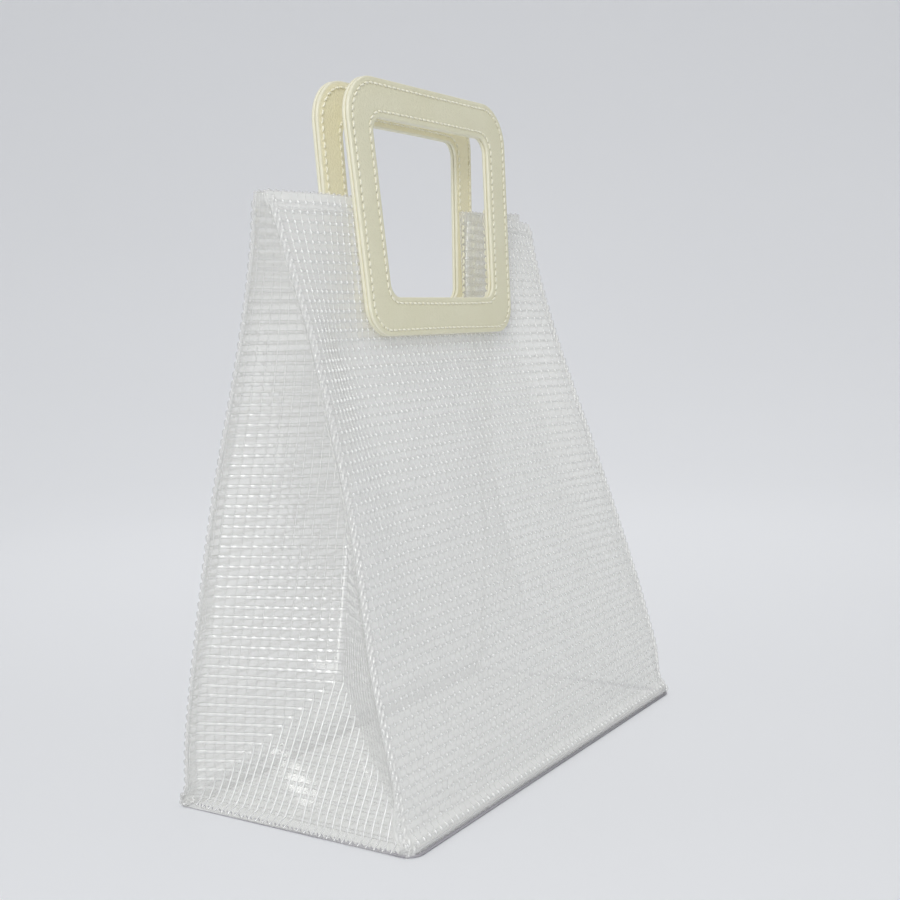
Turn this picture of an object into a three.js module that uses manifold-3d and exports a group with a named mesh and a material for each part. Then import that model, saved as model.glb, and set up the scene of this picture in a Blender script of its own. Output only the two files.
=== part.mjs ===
// A clear handbag of yarn-reinforced vinyl sheet with two cream leather frame handles.
// It is built like a gusseted paper bag: two panels, a flat base and two side gussets
// folded inward. Millimetres, +Z up, the front panel faces -Y, the origin is the middle
// of the base on the floor.

import * as THREE from 'three';
import { mergeVertices } from 'three/addons/utils/BufferGeometryUtils.js';
import Module from 'manifold-3d';

const wasm = await Module();
wasm.setup();

// Driving sizes of the body
const baseWidth = 250;
const baseDepth = 124;
const bodyHeight = 262;
const sheetThickness = 1.0;
const gussetThickness = 0.8;
const pieceGap = 0.3;
const foldRadius = 3;
const hemHeight = 6;
const hemThickness = 1.4;
const frontCornerDroop = 3.5;
const backCornerRise = 2.5;
const seamFlange = 5.5;

// Driving sizes of the side gussets
const gussetHalfAtBase = 62.5;
const gussetHalfAtTop = 51;
const apexHeight = 54.5;
const creaseRadius = 0.9;
const smallestRun = 1.5;
const gussetSagShare = 0.25;

// Driving sizes of the handles
const handleBottom = 201.5;
const handleTop = 314.5;
const handleWidthTop = 133.5;
const handleWidthBottom = 120;
const handleBar = 17.3;
const handleCornerRadius = 14;
const windowCornerRadius = 7;
const plyThickness = 1.6;
const plyBevel = 0.3;
const handleShiftX = 4;
const handleFlatHalf = 69;

// How each panel's sheet lies under its handle. sheetDepth: how far it is from the bag's
// middle plane at the handle's lower edge. tilt: its inward slope. cornerLift: how far the
// right end of its hem lies above the left end.
const hangs = {
  [-1]: { sheetDepth: 8.9, tilt: 0, cornerLift: -frontCornerDroop },
  [1]: { sheetDepth: 8.0, tilt: THREE.MathUtils.degToRad(3.6), cornerLift: backCornerRise },
};

// The soft bag leans a little: the shift of the mouth against the base
const mouthShiftX = -8;
const mouthShiftY = 6;

// Sections of the upright walls. height: share of the wall's height. leftHalf and rightHalf:
// from the middle to the outer edges of the side seams. seamDepth: half the depth between the
// panels at the side seams. middleDepth: the same at the middle of the panels, which the
// handles draw together.
const wallSections = [
  { height: 0.00, leftHalf: 125.0, rightHalf: 125.0, seamDepth: 61.8, middleDepth: 62.0 },
  { height: 0.06, leftHalf: 125.0, rightHalf: 124.4, seamDepth: 56.8, middleDepth: 57.6 },
  { height: 0.12, leftHalf: 125.0, rightHalf: 123.3, seamDepth: 53.9, middleDepth: 54.0 },
  { height: 0.25, leftHalf: 122.8, rightHalf: 120.4, seamDepth: 47.3, middleDepth: 45.8 },
  { height: 0.50, leftHalf: 114.6, rightHalf: 106.5, seamDepth: 36.0, middleDepth: 29.2 },
  { height: 0.75, leftHalf: 107.4, rightHalf: 100.0, seamDepth: 19.7, middleDepth: 9.4 },
  { height: 0.90, leftHalf: 106.2, rightHalf: 102.0, seamDepth: 9.2, middleDepth: 7.6 },
  { height: 1.00, leftHalf: 107.4, rightHalf: 107.0, seamDepth: 3.0, middleDepth: 7.0 },
];

/** A smooth value of one column of a table of sections at a share of the height. */
function along(sections, column, height) {
  const last = sections.length - 2;
  const found = sections.findIndex((row) => row.height > height) - 1;
  const i = found < 0 ? last : found;
  const [a, b] = [sections[i], sections[i + 1]];
  const before = sections[Math.max(i - 1, 0)];
  const after = sections[Math.min(i + 2, last + 1)];
  const span = b.height - a.height;
  const slopeA = (b[column] - before[column]) / (b.height - before.height);
  const slopeB = (after[column] - a[column]) / (after.height - a.height);
  const t = (height - a.height) / span;
  const rise = b[column] - a[column];
  const bend = t * (1 - t) * ((1 - t) * (slopeA * span - rise) - t * (slopeB * span - rise));
  return a[column] + rise * t + bend;
}

/** Rises smoothly from 0 to 1 between two edges. */
function ramp(value, low, high) {
  return THREE.MathUtils.smoothstep(value, low, high);
}

/** Evenly spaced values from first to last, in that many steps. */
function spread(first, last, steps) {
  return Array.from({ length: steps + 1 }, (_, i) => first + ((last - first) * i) / steps);
}

const foldTop = foldRadius + sheetThickness / 2;
const foldCentre = baseDepth / 2 - foldRadius;

/** The height share of a height on the wall, which starts above the lower fold. */
function wallShare(z) {
  return THREE.MathUtils.clamp((z - foldTop) / (bodyHeight - foldTop), 0, 1);
}

/** How far the outer edge of a side seam is from the middle, left for -1 and right for 1. */
function seamHalfWidth(end, z) {
  return along(wallSections, end < 0 ? 'leftHalf' : 'rightHalf', wallShare(z));
}

/** The middle depth is a straight slope where the handle holds the sheet flat. */
function middleDepth(side, z) {
  const held = hangs[side].sheetDepth - (z - handleBottom) * Math.tan(hangs[side].tilt);
  const free = along(wallSections, 'middleDepth', wallShare(z));
  return THREE.MathUtils.lerp(free, held, ramp(z, handleBottom - 45, handleBottom - 6));
}

/** How far a panel's sheet is from the bag's middle plane. */
function panelDepth(side, x, z) {
  const seam = along(wallSections, 'seamDepth', wallShare(z));
  const away = ramp(Math.abs(x), handleFlatHalf, seamHalfWidth(Math.sign(x), z));
  return THREE.MathUtils.lerp(middleDepth(side, z), seam, away);
}

/**
 * A closed sheet with walls on both sides of a grid of points. Rows run along the sheet,
 * and the thickness may change from row to row.
 */
function sheetSolid(grid, thicknessOfRow) {
  const rows = grid.length - 1;
  const columns = grid[0].length - 1;
  const geometry = new THREE.BoxGeometry(1, 1, 1, columns, rows, 1);
  const position = geometry.attributes.position;
  const across = new THREE.Vector3();
  const up = new THREE.Vector3();
  const before = new THREE.Vector3();
  const after = new THREE.Vector3();
  const normal = new THREE.Vector3();
  for (let k = 0; k < position.count; k += 1) {
    const i = Math.round((position.getX(k) + 0.5) * columns);
    const j = Math.round((position.getY(k) + 0.5) * rows);
    const side = Math.sign(position.getZ(k));
    const here = grid[j][i];
    before.subVectors(here, grid[j][Math.max(i - 1, 0)]).normalize();
    after.subVectors(grid[j][Math.min(i + 1, columns)], here).normalize();
    across.addVectors(before, after).normalize();
    up.subVectors(grid[Math.min(j + 1, rows)][i], grid[Math.max(j - 1, 0)][i]);
    normal.crossVectors(across, up).normalize();
    const turn = before.lengthSq() * after.lengthSq() > 0.5 ? before.angleTo(after) : 0;
    const reach = Math.min(1 / Math.cos(turn / 2), 1.5);
    const offset = (side * reach * thicknessOfRow(j)) / 2;
    position.setXYZ(
      k,
      here.x + normal.x * offset,
      here.y + normal.y * offset,
      here.z + normal.z * offset,
    );
  }
  return geometry;
}

/** One closed body of shared vertices, which is what a boolean and a solid need. */
function welded(geometry) {
  const bare = geometry.clone();
  bare.deleteAttribute('normal');
  bare.deleteAttribute('uv');
  return mergeVertices(bare, 1e-4);
}

function toManifold(geometry) {
  const shared = welded(geometry);
  return new wasm.Manifold(new wasm.Mesh({
    numProp: 3,
    vertProperties: new Float32Array(shared.attributes.position.array),
    triVerts: new Uint32Array(shared.index.array),
  }));
}

function fromManifold(solid) {
  const mesh = solid.getMesh();
  const geometry = new THREE.BufferGeometry();
  geometry.setAttribute('position', new THREE.BufferAttribute(mesh.vertProperties, 3));
  geometry.setIndex(new THREE.BufferAttribute(mesh.triVerts, 1));
  return geometry;
}

// The heights that the panels and gussets share, so that their facets lie alike.
const hemStart = bodyHeight - hemHeight;
const drawnIn = handleBottom - 45;
const wallLevels = [
  ...spread(foldTop, apexHeight, 5).slice(1),
  ...spread(apexHeight, drawnIn, 6).slice(1),
  ...spread(drawnIn, handleBottom - 6, 4).slice(1),
  ...spread(handleBottom - 6, hemStart, 4).slice(1),
  hemStart + 0.5,
  bodyHeight,
];
const foldAngles = spread(0, Math.PI / 2, 4);

/**
 * The sheet of one panel: from the base round the lower fold and up to the hem. The side
 * is -1 for the front and 1 for the back.
 */
function panelGrid(side) {
  const foldRows = foldAngles.map((angle) => ({
    depth: foldCentre + foldRadius * Math.sin(angle),
    z: foldTop - foldRadius * Math.cos(angle),
  }));
  const wallRows = wallLevels.map((z) => ({ z }));
  return [...foldRows, ...wallRows].map((row) => {
    const outward = (tip) => [...spread(handleFlatHalf, tip - seamFlange, 6).slice(1), tip];
    const right = outward(seamHalfWidth(1, row.z));
    const left = outward(seamHalfWidth(-1, row.z)).map((x) => -x).reverse();
    const middle = spread(-handleFlatHalf, handleFlatHalf, 4);
    return [...left, ...middle, ...right].map((x) => {
      const corner = ramp(x, 0, baseWidth / 2) * wallShare(row.z) ** 4;
      const z = row.z + hangs[side].cornerLift * corner;
      return new THREE.Vector3(x, side * (row.depth ?? panelDepth(side, x, z)), z);
    });
  });
}

/** Draws a round corner to an end point, with the corner's sharp point given. */
function roundTo(target, sharp, end) {
  const pull = 0.5523;
  const start = target.currentPoint.clone().lerp(sharp, pull);
  const finish = end.clone().lerp(sharp, pull);
  target.bezierCurveTo(start.x, start.y, finish.x, finish.y, end.x, end.y);
}

/** A rectangle with round corners that is wider at its top. */
function roundedFrame(target, widthBottom, widthTop, bottom, top, radius) {
  const slope = (widthTop - widthBottom) / 2 / (top - bottom);
  const at = (side, z, inset) => (
    new THREE.Vector2(side * (widthBottom / 2 + slope * (z - bottom) - inset), z)
  );
  target.moveTo(...at(-1, bottom, radius));
  target.lineTo(...at(1, bottom, radius));
  roundTo(target, at(1, bottom, 0), at(1, bottom + radius, 0));
  target.lineTo(...at(1, top - radius, 0));
  roundTo(target, at(1, top, 0), at(1, top, radius));
  target.lineTo(...at(-1, top, radius));
  roundTo(target, at(-1, top, 0), at(-1, top - radius, 0));
  target.lineTo(...at(-1, bottom + radius, 0));
  roundTo(target, at(-1, bottom, 0), at(-1, bottom, radius));
  return target;
}

/** The handle's window as an outline, larger by that much all round. */
function windowOutline(target, grow) {
  return roundedFrame(
    target,
    handleWidthBottom - 2 * handleBar + 2 * grow,
    handleWidthTop - 2 * handleBar + 2 * grow,
    handleBottom + handleBar - grow,
    handleTop - handleBar + grow,
    windowCornerRadius + grow,
  );
}

/** Turns a flat outline, drawn across and up, to stand at a depth on one side of the bag. */
function standAt(geometry, side, depth) {
  geometry.rotateX(Math.PI / 2);
  geometry.translate(handleShiftX, 0, -handleBottom);
  geometry.rotateX(side * hangs[side].tilt);
  geometry.translate(0, side * depth, handleBottom);
  return geometry;
}

/** One panel, with the handle's window cut out of its upper edge. */
function panel(side) {
  const grid = panelGrid(side);
  const hemRows = grid.length - 2;
  const thickness = (row) => (row >= hemRows ? hemThickness : sheetThickness);
  const sheet = sheetSolid(grid, thickness);
  const hole = new THREE.ExtrudeGeometry(windowOutline(new THREE.Shape(), 0), {
    depth: 60,
    bevelEnabled: false,
    curveSegments: 4,
  });
  hole.translate(0, 0, -30);
  standAt(hole, side, hangs[side].sheetDepth);
  const cut = toManifold(sheet).subtract(toManifold(hole));
  return fromManifold(cut);
}

// The gusset lies behind the panels' edges, clear of the hem.
const gussetInset = hemThickness / 2 + pieceGap + gussetThickness / 2;

/** How far the gusset's sheet is from the bag's middle plane where it joins a panel. */
function gussetDepth(side, x, z) {
  const inFold = (foldRadius - gussetInset) ** 2 - (z - foldTop) ** 2;
  const lower = foldCentre + Math.sqrt(Math.max(inFold, 0));
  return z < foldTop ? lower : panelDepth(side, x, z) - gussetInset;
}

/** How far from the bag's middle a gusset's inner crease is, above the apex of its triangle. */
function creaseAt(end, z) {
  const joint = seamHalfWidth(end, z) - seamFlange;
  const half = THREE.MathUtils.lerp(gussetHalfAtBase, gussetHalfAtTop, z / bodyHeight);
  const depth = along(wallSections, 'seamDepth', wallShare(z)) - gussetInset;
  return joint - Math.sqrt(half ** 2 - depth ** 2);
}

/**
 * Half of a gusset's fold at one height, from the flange at a panel to the crease. Across is
 * measured outward from the bag's middle.
 */
function gussetRun(end, side, z, lowest) {
  const tip = seamHalfWidth(end, z);
  const joint = tip - seamFlange;
  const start = new THREE.Vector2(joint, side * gussetDepth(side, end * joint, z));
  const crease = new THREE.Vector2(creaseAt(end, z), side * creaseRadius);
  if (z < apexHeight) {
    const share = (z - lowest) / (apexHeight - lowest);
    const corner = seamHalfWidth(end, lowest) - seamFlange - smallestRun;
    crease.x = THREE.MathUtils.lerp(corner, creaseAt(end, apexHeight), share);
    crease.y = side * THREE.MathUtils.lerp(foldCentre - smallestRun, creaseRadius, share);
  }
  const sag = gussetSagShare * start.y * ramp(z, apexHeight, handleBottom);
  const run = spread(0, 1, 6).map((t) => {
    const point = start.clone().lerp(crease, t);
    return point.setY(point.y - sag * 4 * t * (1 - t));
  });
  return [new THREE.Vector2(tip, side * gussetDepth(side, end * tip, z)), ...run];
}

/** A gusset's fold at one height, from the back flange to the front one. */
function gussetSection(end, z, lowest) {
  const back = gussetRun(end, 1, z, lowest);
  const front = gussetRun(end, -1, z, lowest).reverse();
  const [a, b] = [back.at(-1), front[0]];
  const fold = spread(0, 1, 4).slice(1, -1).map((t) => (
    a.clone().lerp(b, t).setX(a.x - creaseRadius * Math.sin(Math.PI * t))
  ));
  return [...back, ...fold, ...front].map((p) => new THREE.Vector3(end * p.x, p.y, z));
}

/** One side gusset. The end is -1 for the left and 1 for the right. */
function gusset(end) {
  const foldLevels = foldAngles.map((a) => foldTop - (foldRadius - gussetInset) * Math.cos(a));
  const levels = [...foldLevels, ...wallLevels];
  const grid = levels.map((z) => {
    const section = gussetSection(end, z, levels[0]);
    return end < 0 ? section : section.reverse();
  });
  return welded(sheetSolid(grid, () => gussetThickness));
}

/** The flat sheet of the base, between the lower folds and out under the gussets' edges. */
function base() {
  const width = baseWidth - 2 * pieceGap;
  const depth = 2 * (foldCentre - pieceGap);
  const geometry = new THREE.BoxGeometry(width, depth, sheetThickness);
  geometry.translate(0, 0, sheetThickness / 2);
  return welded(geometry);
}

/** One leather ply of a handle. Ply 0 lies on the panel and ply 1 on that one. */
function handlePly(side, ply) {
  const outline = roundedFrame(
    new THREE.Shape(),
    handleWidthBottom - 2 * plyBevel,
    handleWidthTop - 2 * plyBevel,
    handleBottom + plyBevel,
    handleTop - plyBevel,
    handleCornerRadius,
  );
  outline.holes.push(windowOutline(new THREE.Path(), plyBevel));
  const geometry = new THREE.ExtrudeGeometry(outline, {
    depth: plyThickness - 2 * plyBevel,
    bevelEnabled: true,
    bevelThickness: plyBevel,
    bevelSize: plyBevel,
    bevelSegments: 1,
    curveSegments: 5,
  });
  geometry.translate(0, 0, -plyThickness / 2 + plyBevel);
  const out = hemThickness / 2 + pieceGap + plyThickness / 2 + ply * (plyThickness + pieceGap);
  return welded(standAt(geometry, side, hangs[side].sheetDepth + out));
}

// The mouth of the bag is shifted against the base, so every piece leans with it.
const lean = new THREE.Matrix4().set(
  1, 0, mouthShiftX / bodyHeight, 0,
  0, 1, mouthShiftY / bodyHeight, 0,
  0, 0, 1, 0,
  0, 0, 0, 1,
);

const vinyl = { color: 0xdfe4e0, roughness: 0.18, metalness: 0, transparent: true, opacity: 0.45 };
const leather = { color: 0xd6d3ba, roughness: 0.55, metalness: 0 };

const pieces = [
  { name: 'front_panel', geometry: panel(-1), finish: vinyl },
  { name: 'back_panel', geometry: panel(1), finish: vinyl },
  { name: 'left_gusset', geometry: gusset(-1), finish: vinyl },
  { name: 'right_gusset', geometry: gusset(1), finish: vinyl },
  { name: 'base_panel', geometry: base(), finish: vinyl },
  { name: 'front_handle_backing', geometry: handlePly(-1, 0), finish: leather },
  { name: 'front_handle_face', geometry: handlePly(-1, 1), finish: leather },
  { name: 'back_handle_backing', geometry: handlePly(1, 0), finish: leather },
  { name: 'back_handle_face', geometry: handlePly(1, 1), finish: leather },
];

const bag = new THREE.Group();
bag.name = 'clear_handbag';
for (const { name, geometry, finish } of pieces) {
  geometry.applyMatrix4(lean);
  geometry.computeVertexNormals();
  const mesh = new THREE.Mesh(geometry, new THREE.MeshStandardMaterial(finish));
  mesh.name = name;
  bag.add(mesh);
}

export default bag;
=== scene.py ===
"""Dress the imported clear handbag: yarn-grid vinyl sheets, stitched leather frame handles, studio.

All sizes are millimetres in the bag's own frame, before its lean. A mesh is leaned with the mouth of
the bag and turned into metres when it is made.
"""

import logging
import math
from collections.abc import Callable
from dataclasses import dataclass, replace
from enum import Enum

import bpy
import numpy as np
from mathutils import Matrix, Vector
from numpy.typing import NDArray

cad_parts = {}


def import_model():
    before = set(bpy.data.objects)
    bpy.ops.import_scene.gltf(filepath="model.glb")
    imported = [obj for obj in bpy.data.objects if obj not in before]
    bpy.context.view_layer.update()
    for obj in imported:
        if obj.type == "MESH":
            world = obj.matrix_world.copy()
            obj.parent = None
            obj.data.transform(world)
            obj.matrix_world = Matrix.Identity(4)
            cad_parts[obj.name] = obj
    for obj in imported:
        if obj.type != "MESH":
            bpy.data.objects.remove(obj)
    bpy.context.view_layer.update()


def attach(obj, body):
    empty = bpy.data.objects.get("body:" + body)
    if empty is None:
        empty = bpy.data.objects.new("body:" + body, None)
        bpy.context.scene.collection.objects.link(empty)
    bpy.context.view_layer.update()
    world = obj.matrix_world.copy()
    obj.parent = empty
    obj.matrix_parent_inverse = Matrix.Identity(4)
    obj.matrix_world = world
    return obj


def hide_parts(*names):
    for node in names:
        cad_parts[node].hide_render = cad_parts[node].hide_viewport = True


LOG = logging.getLogger("clear_handbag")
BODY = "root"
MM = 0.001
VINYL_SLOT = "yarn_vinyl"
LEATHER_SLOT = "cream_leather"
CORNER_SIGNS = np.array([[1, -1], [1, 1], [-1, 1], [-1, -1]])

Array = NDArray[np.float64]
Place = Callable[[Array, Array], Array]


class Side(Enum):
    """Which of the two panels or gussets a piece belongs to, with its sign along Y or X."""

    FRONT = -1
    BACK = 1
    LEFT = -2
    RIGHT = 2

    @property
    def sign(self) -> int:
        """The side's direction along its axis, -1 or 1."""
        return 1 if self.value > 0 else -1

    @property
    def label(self) -> str:
        """The side's name in piece names."""
        return self.name.lower()


def linear(hex_colour: str) -> tuple[float, float, float, float]:
    """Turn an sRGB hex colour into Blender's linear colour.

    Args:
        hex_colour: Six hex digits, such as "d6d3ba".

    Returns:
        Linear red, green, blue and an alpha of 1.
    """
    parts = [int(hex_colour[i : i + 2], 16) / 255 for i in (0, 2, 4)]
    red, green, blue = (c / 12.92 if c <= 0.04045 else ((c + 0.055) / 1.055) ** 2.4 for c in parts)
    return red, green, blue, 1.0


def add_node(
    tree: bpy.types.NodeTree, kind: str, inputs: dict | None = None, **settings: object
) -> bpy.types.Node:
    """Add one node with its settings, input values and links.

    Args:
        tree: The node tree that gets the node.
        kind: The node's Blender type name.
        inputs: Values or output sockets by input name or number.
        **settings: The node's own properties.

    Returns:
        The new node.
    """
    made = tree.nodes.new(kind)
    for name, value in settings.items():
        setattr(made, name, value)
    for name, value in (inputs or {}).items():
        if isinstance(value, bpy.types.NodeSocket):
            tree.links.new(value, made.inputs[name])
        else:
            made.inputs[name].default_value = value
    return made


class Shader:
    """A new material with the node steps that several materials share."""

    def __init__(self, name: str) -> None:
        """Make a material that holds its output node and the object's own coordinates.

        Args:
            name: The material's name.
        """
        self.material = bpy.data.materials.new(name)
        self.material.use_nodes = True
        self.tree = self.material.node_tree
        self.tree.nodes.clear()
        self.output = add_node(self.tree, "ShaderNodeOutputMaterial")
        self.place = add_node(self.tree, "ShaderNodeTexCoord").outputs["Object"]

    def noise(self, size_mm: float, detail: float) -> bpy.types.NodeSocket:
        """Soft noise with clouds of a real size."""
        inputs = {"Vector": self.place, "Scale": 1 / (size_mm * MM), "Detail": detail}
        return add_node(self.tree, "ShaderNodeTexNoise", inputs).outputs["Fac"]

    def two_tone(self, share: bpy.types.NodeSocket, deep: str, pale: str) -> bpy.types.NodeSocket:
        """A colour between a deep and a pale one."""
        inputs = {0: share, 6: linear(deep), 7: linear(pale)}
        return add_node(self.tree, "ShaderNodeMix", inputs, data_type="RGBA").outputs[2]

    def relief(
        self, height: bpy.types.NodeSocket, strength: float, deep_mm: float, invert: bool = False
    ) -> bpy.types.NodeSocket:
        """Normals bent by a height of a real size."""
        inputs = {"Height": height, "Strength": strength, "Distance": deep_mm * MM}
        return add_node(self.tree, "ShaderNodeBump", inputs, invert=invert).outputs["Normal"]

    def mixed(
        self, share: float | bpy.types.NodeSocket, first: bpy.types.Node, second: bpy.types.Node
    ) -> bpy.types.Node:
        """Two surfaces mixed by a share."""
        inputs = {0: share, 1: first.outputs[0], 2: second.outputs[0]}
        return add_node(self.tree, "ShaderNodeMixShader", inputs)

    def finished(self, surface: bpy.types.Node) -> bpy.types.Material:
        """Link a surface to the output and hand over the material."""
        self.tree.links.new(surface.outputs[0], self.output.inputs["Surface"])
        return self.material


def smooth_rise(value: Array, low: float | Array, high: float | Array) -> Array:
    """Rise from 0 to 1 between two edges as 3t squared minus 2t cubed."""
    t = np.clip((value - low) / (high - low), 0.0, 1.0)
    return t * t * (3.0 - 2.0 * t)


def unit(vectors: Array) -> Array:
    """Scale vectors to a length of one along the last axis."""
    return vectors / np.maximum(np.linalg.norm(vectors, axis=-1, keepdims=True), 1e-9)


def upward(points: Array) -> Array:
    """A unit vector straight up for each point."""
    return np.broadcast_to([0.0, 0.0, 1.0], points.shape)


def spaced(marks: list[float], steps: list[int]) -> Array:
    """Places through several marks, evenly spaced between each two of them.

    Args:
        marks: The marks in order.
        steps: How many steps lie between each two marks.

    Returns:
        The places from the first mark to the last.
    """
    spans = zip(marks[:-1], marks[1:], steps, strict=True)
    lots = [np.linspace(first, last, count + 1)[1:] for first, last, count in spans]
    return np.concatenate([marks[:1], *lots])


def corner_arcs(centres: Array, radii: Array, points: int) -> Array:
    """Quarter circles at an outline's four corners, from the lower right one round to the lower left.

    Args:
        centres: The circles' centres.
        radii: Their radii.
        points: How many points each has.

    Returns:
        Points by corner and place.
    """
    starts = np.radians([-90.0, 0.0, 90.0, 180.0])
    angles = starts[:, None] + np.linspace(0.0, math.pi / 2, points)
    circle = np.stack([np.cos(angles), np.sin(angles)], axis=-1)
    return centres[:, None] + radii[:, None, None] * circle


@dataclass(frozen=True)
class Hang:
    """How one panel hangs: its depth and tilt at the handle, its right corner's lift and its bow."""

    sheet_depth: float
    tilt: float
    corner_lift: float
    bow: float
    bow_reach: float = 60.0

    def bowed(self, x: Array) -> Array:
        """How far the right half bends outward, as the square of the distance from the middle."""
        return self.bow * (np.clip(x, 0.0, None) / self.bow_reach) ** 2


@dataclass(frozen=True)
class BagForm:
    """The sizes of the bag's body and the curved faces that all its sheets follow."""

    base_width: float = 250.0
    base_depth: float = 124.0
    body_height: float = 262.0
    sheet_thickness: float = 1.0
    fold_radius: float = 3.0
    seam_flange: float = 5.5
    hem_radius: float = 0.6
    hem_flap: float = 6.0
    wall_stretch: float = 1.03
    crease_half_base: float = 62.5
    gusset_half_base: float = 58.6
    gusset_half_top: float = 51.0
    gusset_inset: float = 1.4
    gusset_sag: float = 0.25
    corner_depth: float = 57.5
    back_corner_inset: float = 6.0
    front_corner_inset: float = 3.0
    apex_height: float = 54.5
    crease_radius: float = 0.9
    front_corner_radius: float = 6.0
    corner_fade: float = 30.0
    handle_bottom: float = 201.5
    handle_top: float = 314.5
    handle_width_bottom: float = 120.0
    handle_width_top: float = 133.5
    handle_bar: float = 17.3
    handle_shift: float = 4.0
    handle_flat_half: float = 69.0
    hold_below: tuple[float, float] = (14.0, 2.0)
    front_hang: Hang = Hang(sheet_depth=8.9, tilt=0.0, corner_lift=-3.5, bow=0.0)
    back_hang: Hang = Hang(sheet_depth=5.6, tilt=math.radians(2.1), corner_lift=2.5, bow=3.0)
    mouth_shift: tuple[float, float] = (-8.0, 6.0)
    columns: tuple[str, ...] = ("height", "left_half", "right_half", "seam_depth", "middle_depth")
    sections: tuple[tuple[float, ...], ...] = (
        (0.00, 125.0, 125.0, 61.8, 62.0),
        (0.02, 125.0, 124.9, 58.1, 58.5),
        (0.05, 125.0, 124.5, 56.8, 57.4),
        (0.07, 125.0, 124.3, 56.2, 56.9),
        (0.12, 125.0, 123.3, 53.9, 54.0),
        (0.25, 122.8, 120.4, 47.3, 45.8),
        (0.50, 114.6, 106.5, 36.0, 29.2),
        (0.75, 107.4, 100.0, 19.7, 9.4),
        (0.90, 106.2, 102.0, 9.2, 7.6),
        (1.00, 107.4, 107.0, 3.0, 7.0),
    )

    @property
    def fold_top(self) -> float:
        """The height where the lower fold ends and the wall starts."""
        return self.fold_radius + self.sheet_thickness / 2

    @property
    def fold_centre(self) -> float:
        """The depth of the lower fold's centre line."""
        return self.base_depth / 2 - self.fold_radius

    @property
    def window_bottom(self) -> float:
        """The height of the lower edge of the handle windows."""
        return self.handle_bottom + self.handle_bar

    def share(self, z: Array) -> Array:
        """A height on the wall as a share of the wall, from 0 to 1."""
        return np.clip((z - self.fold_top) / (self.body_height - self.fold_top), 0.0, 1.0)

    def along(self, column: str, z: Array) -> Array:
        """Interpolate one column of the sections with a cubic through its rows.

        The curve is a straight line between two rows, bent at each end towards the slope
        between that row's neighbours.

        Args:
            column: The name of the column.
            z: Heights in millimetres.

        Returns:
            The column's value at each height.
        """
        rows = np.array(self.sections)
        heights = rows[:, 0]
        values = rows[:, self.columns.index(column)]
        share = self.share(z)
        i = np.clip(np.searchsorted(heights, share, side="right") - 1, 0, len(heights) - 2)
        before = np.maximum(i - 1, 0)
        after = np.minimum(i + 2, len(heights) - 1)
        span = heights[i + 1] - heights[i]
        rise = values[i + 1] - values[i]
        slope_a = (values[i + 1] - values[before]) / (heights[i + 1] - heights[before])
        slope_b = (values[after] - values[i]) / (heights[after] - heights[i])
        t = (share - heights[i]) / span
        bend = (1 - t) * (slope_a * span - rise) - t * (slope_b * span - rise)
        return values[i] + rise * t + t * (1 - t) * bend

    def hang(self, side: Side) -> Hang:
        """How the panel of one side hangs."""
        return self.front_hang if side is Side.FRONT else self.back_hang

    def half_width(self, x: Array | float, z: Array) -> Array:
        """The distance from the middle to the outer edge of the seam on the side of x."""
        return np.where(np.asarray(x) < 0, self.along("left_half", z), self.along("right_half", z))

    def corner_lift(self, side: Side, x: Array, z: Array) -> Array:
        """How far the right corner of a panel's mouth is lifted, as the fourth power of the height."""
        return self.hang(side).corner_lift * smooth_rise(x, 0.0, self.base_width / 2) * self.share(z) ** 4

    def corner_round(self, side: Side, x: Array, z: Array) -> Array:
        """How far the front's lower corners are rounded off.

        The amount is a circle's radius less its height over the distance from the corner's start,
        and it fades out up the seam.

        Args:
            side: The panel's side.
            x: Distances from the middle of the panel.
            z: Heights.

        Returns:
            The distance that the sheet moves towards the bag's middle plane.
        """
        if side is Side.BACK:
            return np.zeros(np.broadcast(x, z).shape)
        radius = self.front_corner_radius
        over = np.clip(radius - (self.half_width(x, z) - np.abs(x)), 0.0, radius)
        fade = 1.0 - smooth_rise(z, self.fold_top, self.corner_fade)
        return (radius - np.sqrt(radius**2 - over**2)) * fade

    def panel_depth(self, side: Side, x: Array, z: Array) -> Array:
        """How far a panel's sheet is from the bag's middle plane.

        It runs from the middle depth, a straight slope where a handle holds the sheet flat, to the
        seam depth with a smooth rise between the handle and the side seam. The hold starts and is
        full at two distances below the handle. The front's lower corners are rounded off.

        Args:
            side: The panel's side.
            x: Distances from the middle of the panel.
            z: Heights.

        Returns:
            The depth at each point.
        """
        hang = self.hang(side)
        held = hang.sheet_depth - (z - self.handle_bottom) * math.tan(hang.tilt)
        held = held + hang.bowed(x - self.handle_shift)
        free = self.along("middle_depth", z)
        first, last = self.hold_below
        hold = smooth_rise(z, self.handle_bottom - first, self.handle_bottom - last)
        middle = free + (held - free) * hold
        away = smooth_rise(np.abs(x), self.handle_flat_half, self.half_width(x, z))
        depth = middle + (self.along("seam_depth", z) - middle) * away
        return depth - self.corner_round(side, x, z)

    def leaned(self, points: Array) -> Array:
        """Shift points with the mouth of the bag, in proportion to their height."""
        shift = np.zeros_like(points)
        shift[..., 0] = points[..., 2] * self.mouth_shift[0] / self.body_height
        shift[..., 1] = points[..., 2] * self.mouth_shift[1] / self.body_height
        return points + shift


@dataclass
class Facets:
    """The points and four-sided faces of a mesh, with a material number for each face."""

    points: Array
    quads: NDArray[np.int64]
    slots: NDArray[np.int64] | None = None

    @staticmethod
    def joined(parts: list["Facets"]) -> "Facets":
        """Join several lots of facets into one.

        Args:
            parts: The lots to join, in order.

        Returns:
            One lot with all points and faces.
        """
        starts = np.cumsum([0] + [len(p.points) for p in parts[:-1]])
        slots = [np.zeros(len(p.quads), np.int64) if p.slots is None else p.slots for p in parts]
        return Facets(
            np.concatenate([p.points for p in parts]),
            np.concatenate([p.quads + start for p, start in zip(parts, starts, strict=True)]),
            np.concatenate(slots),
        )


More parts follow.
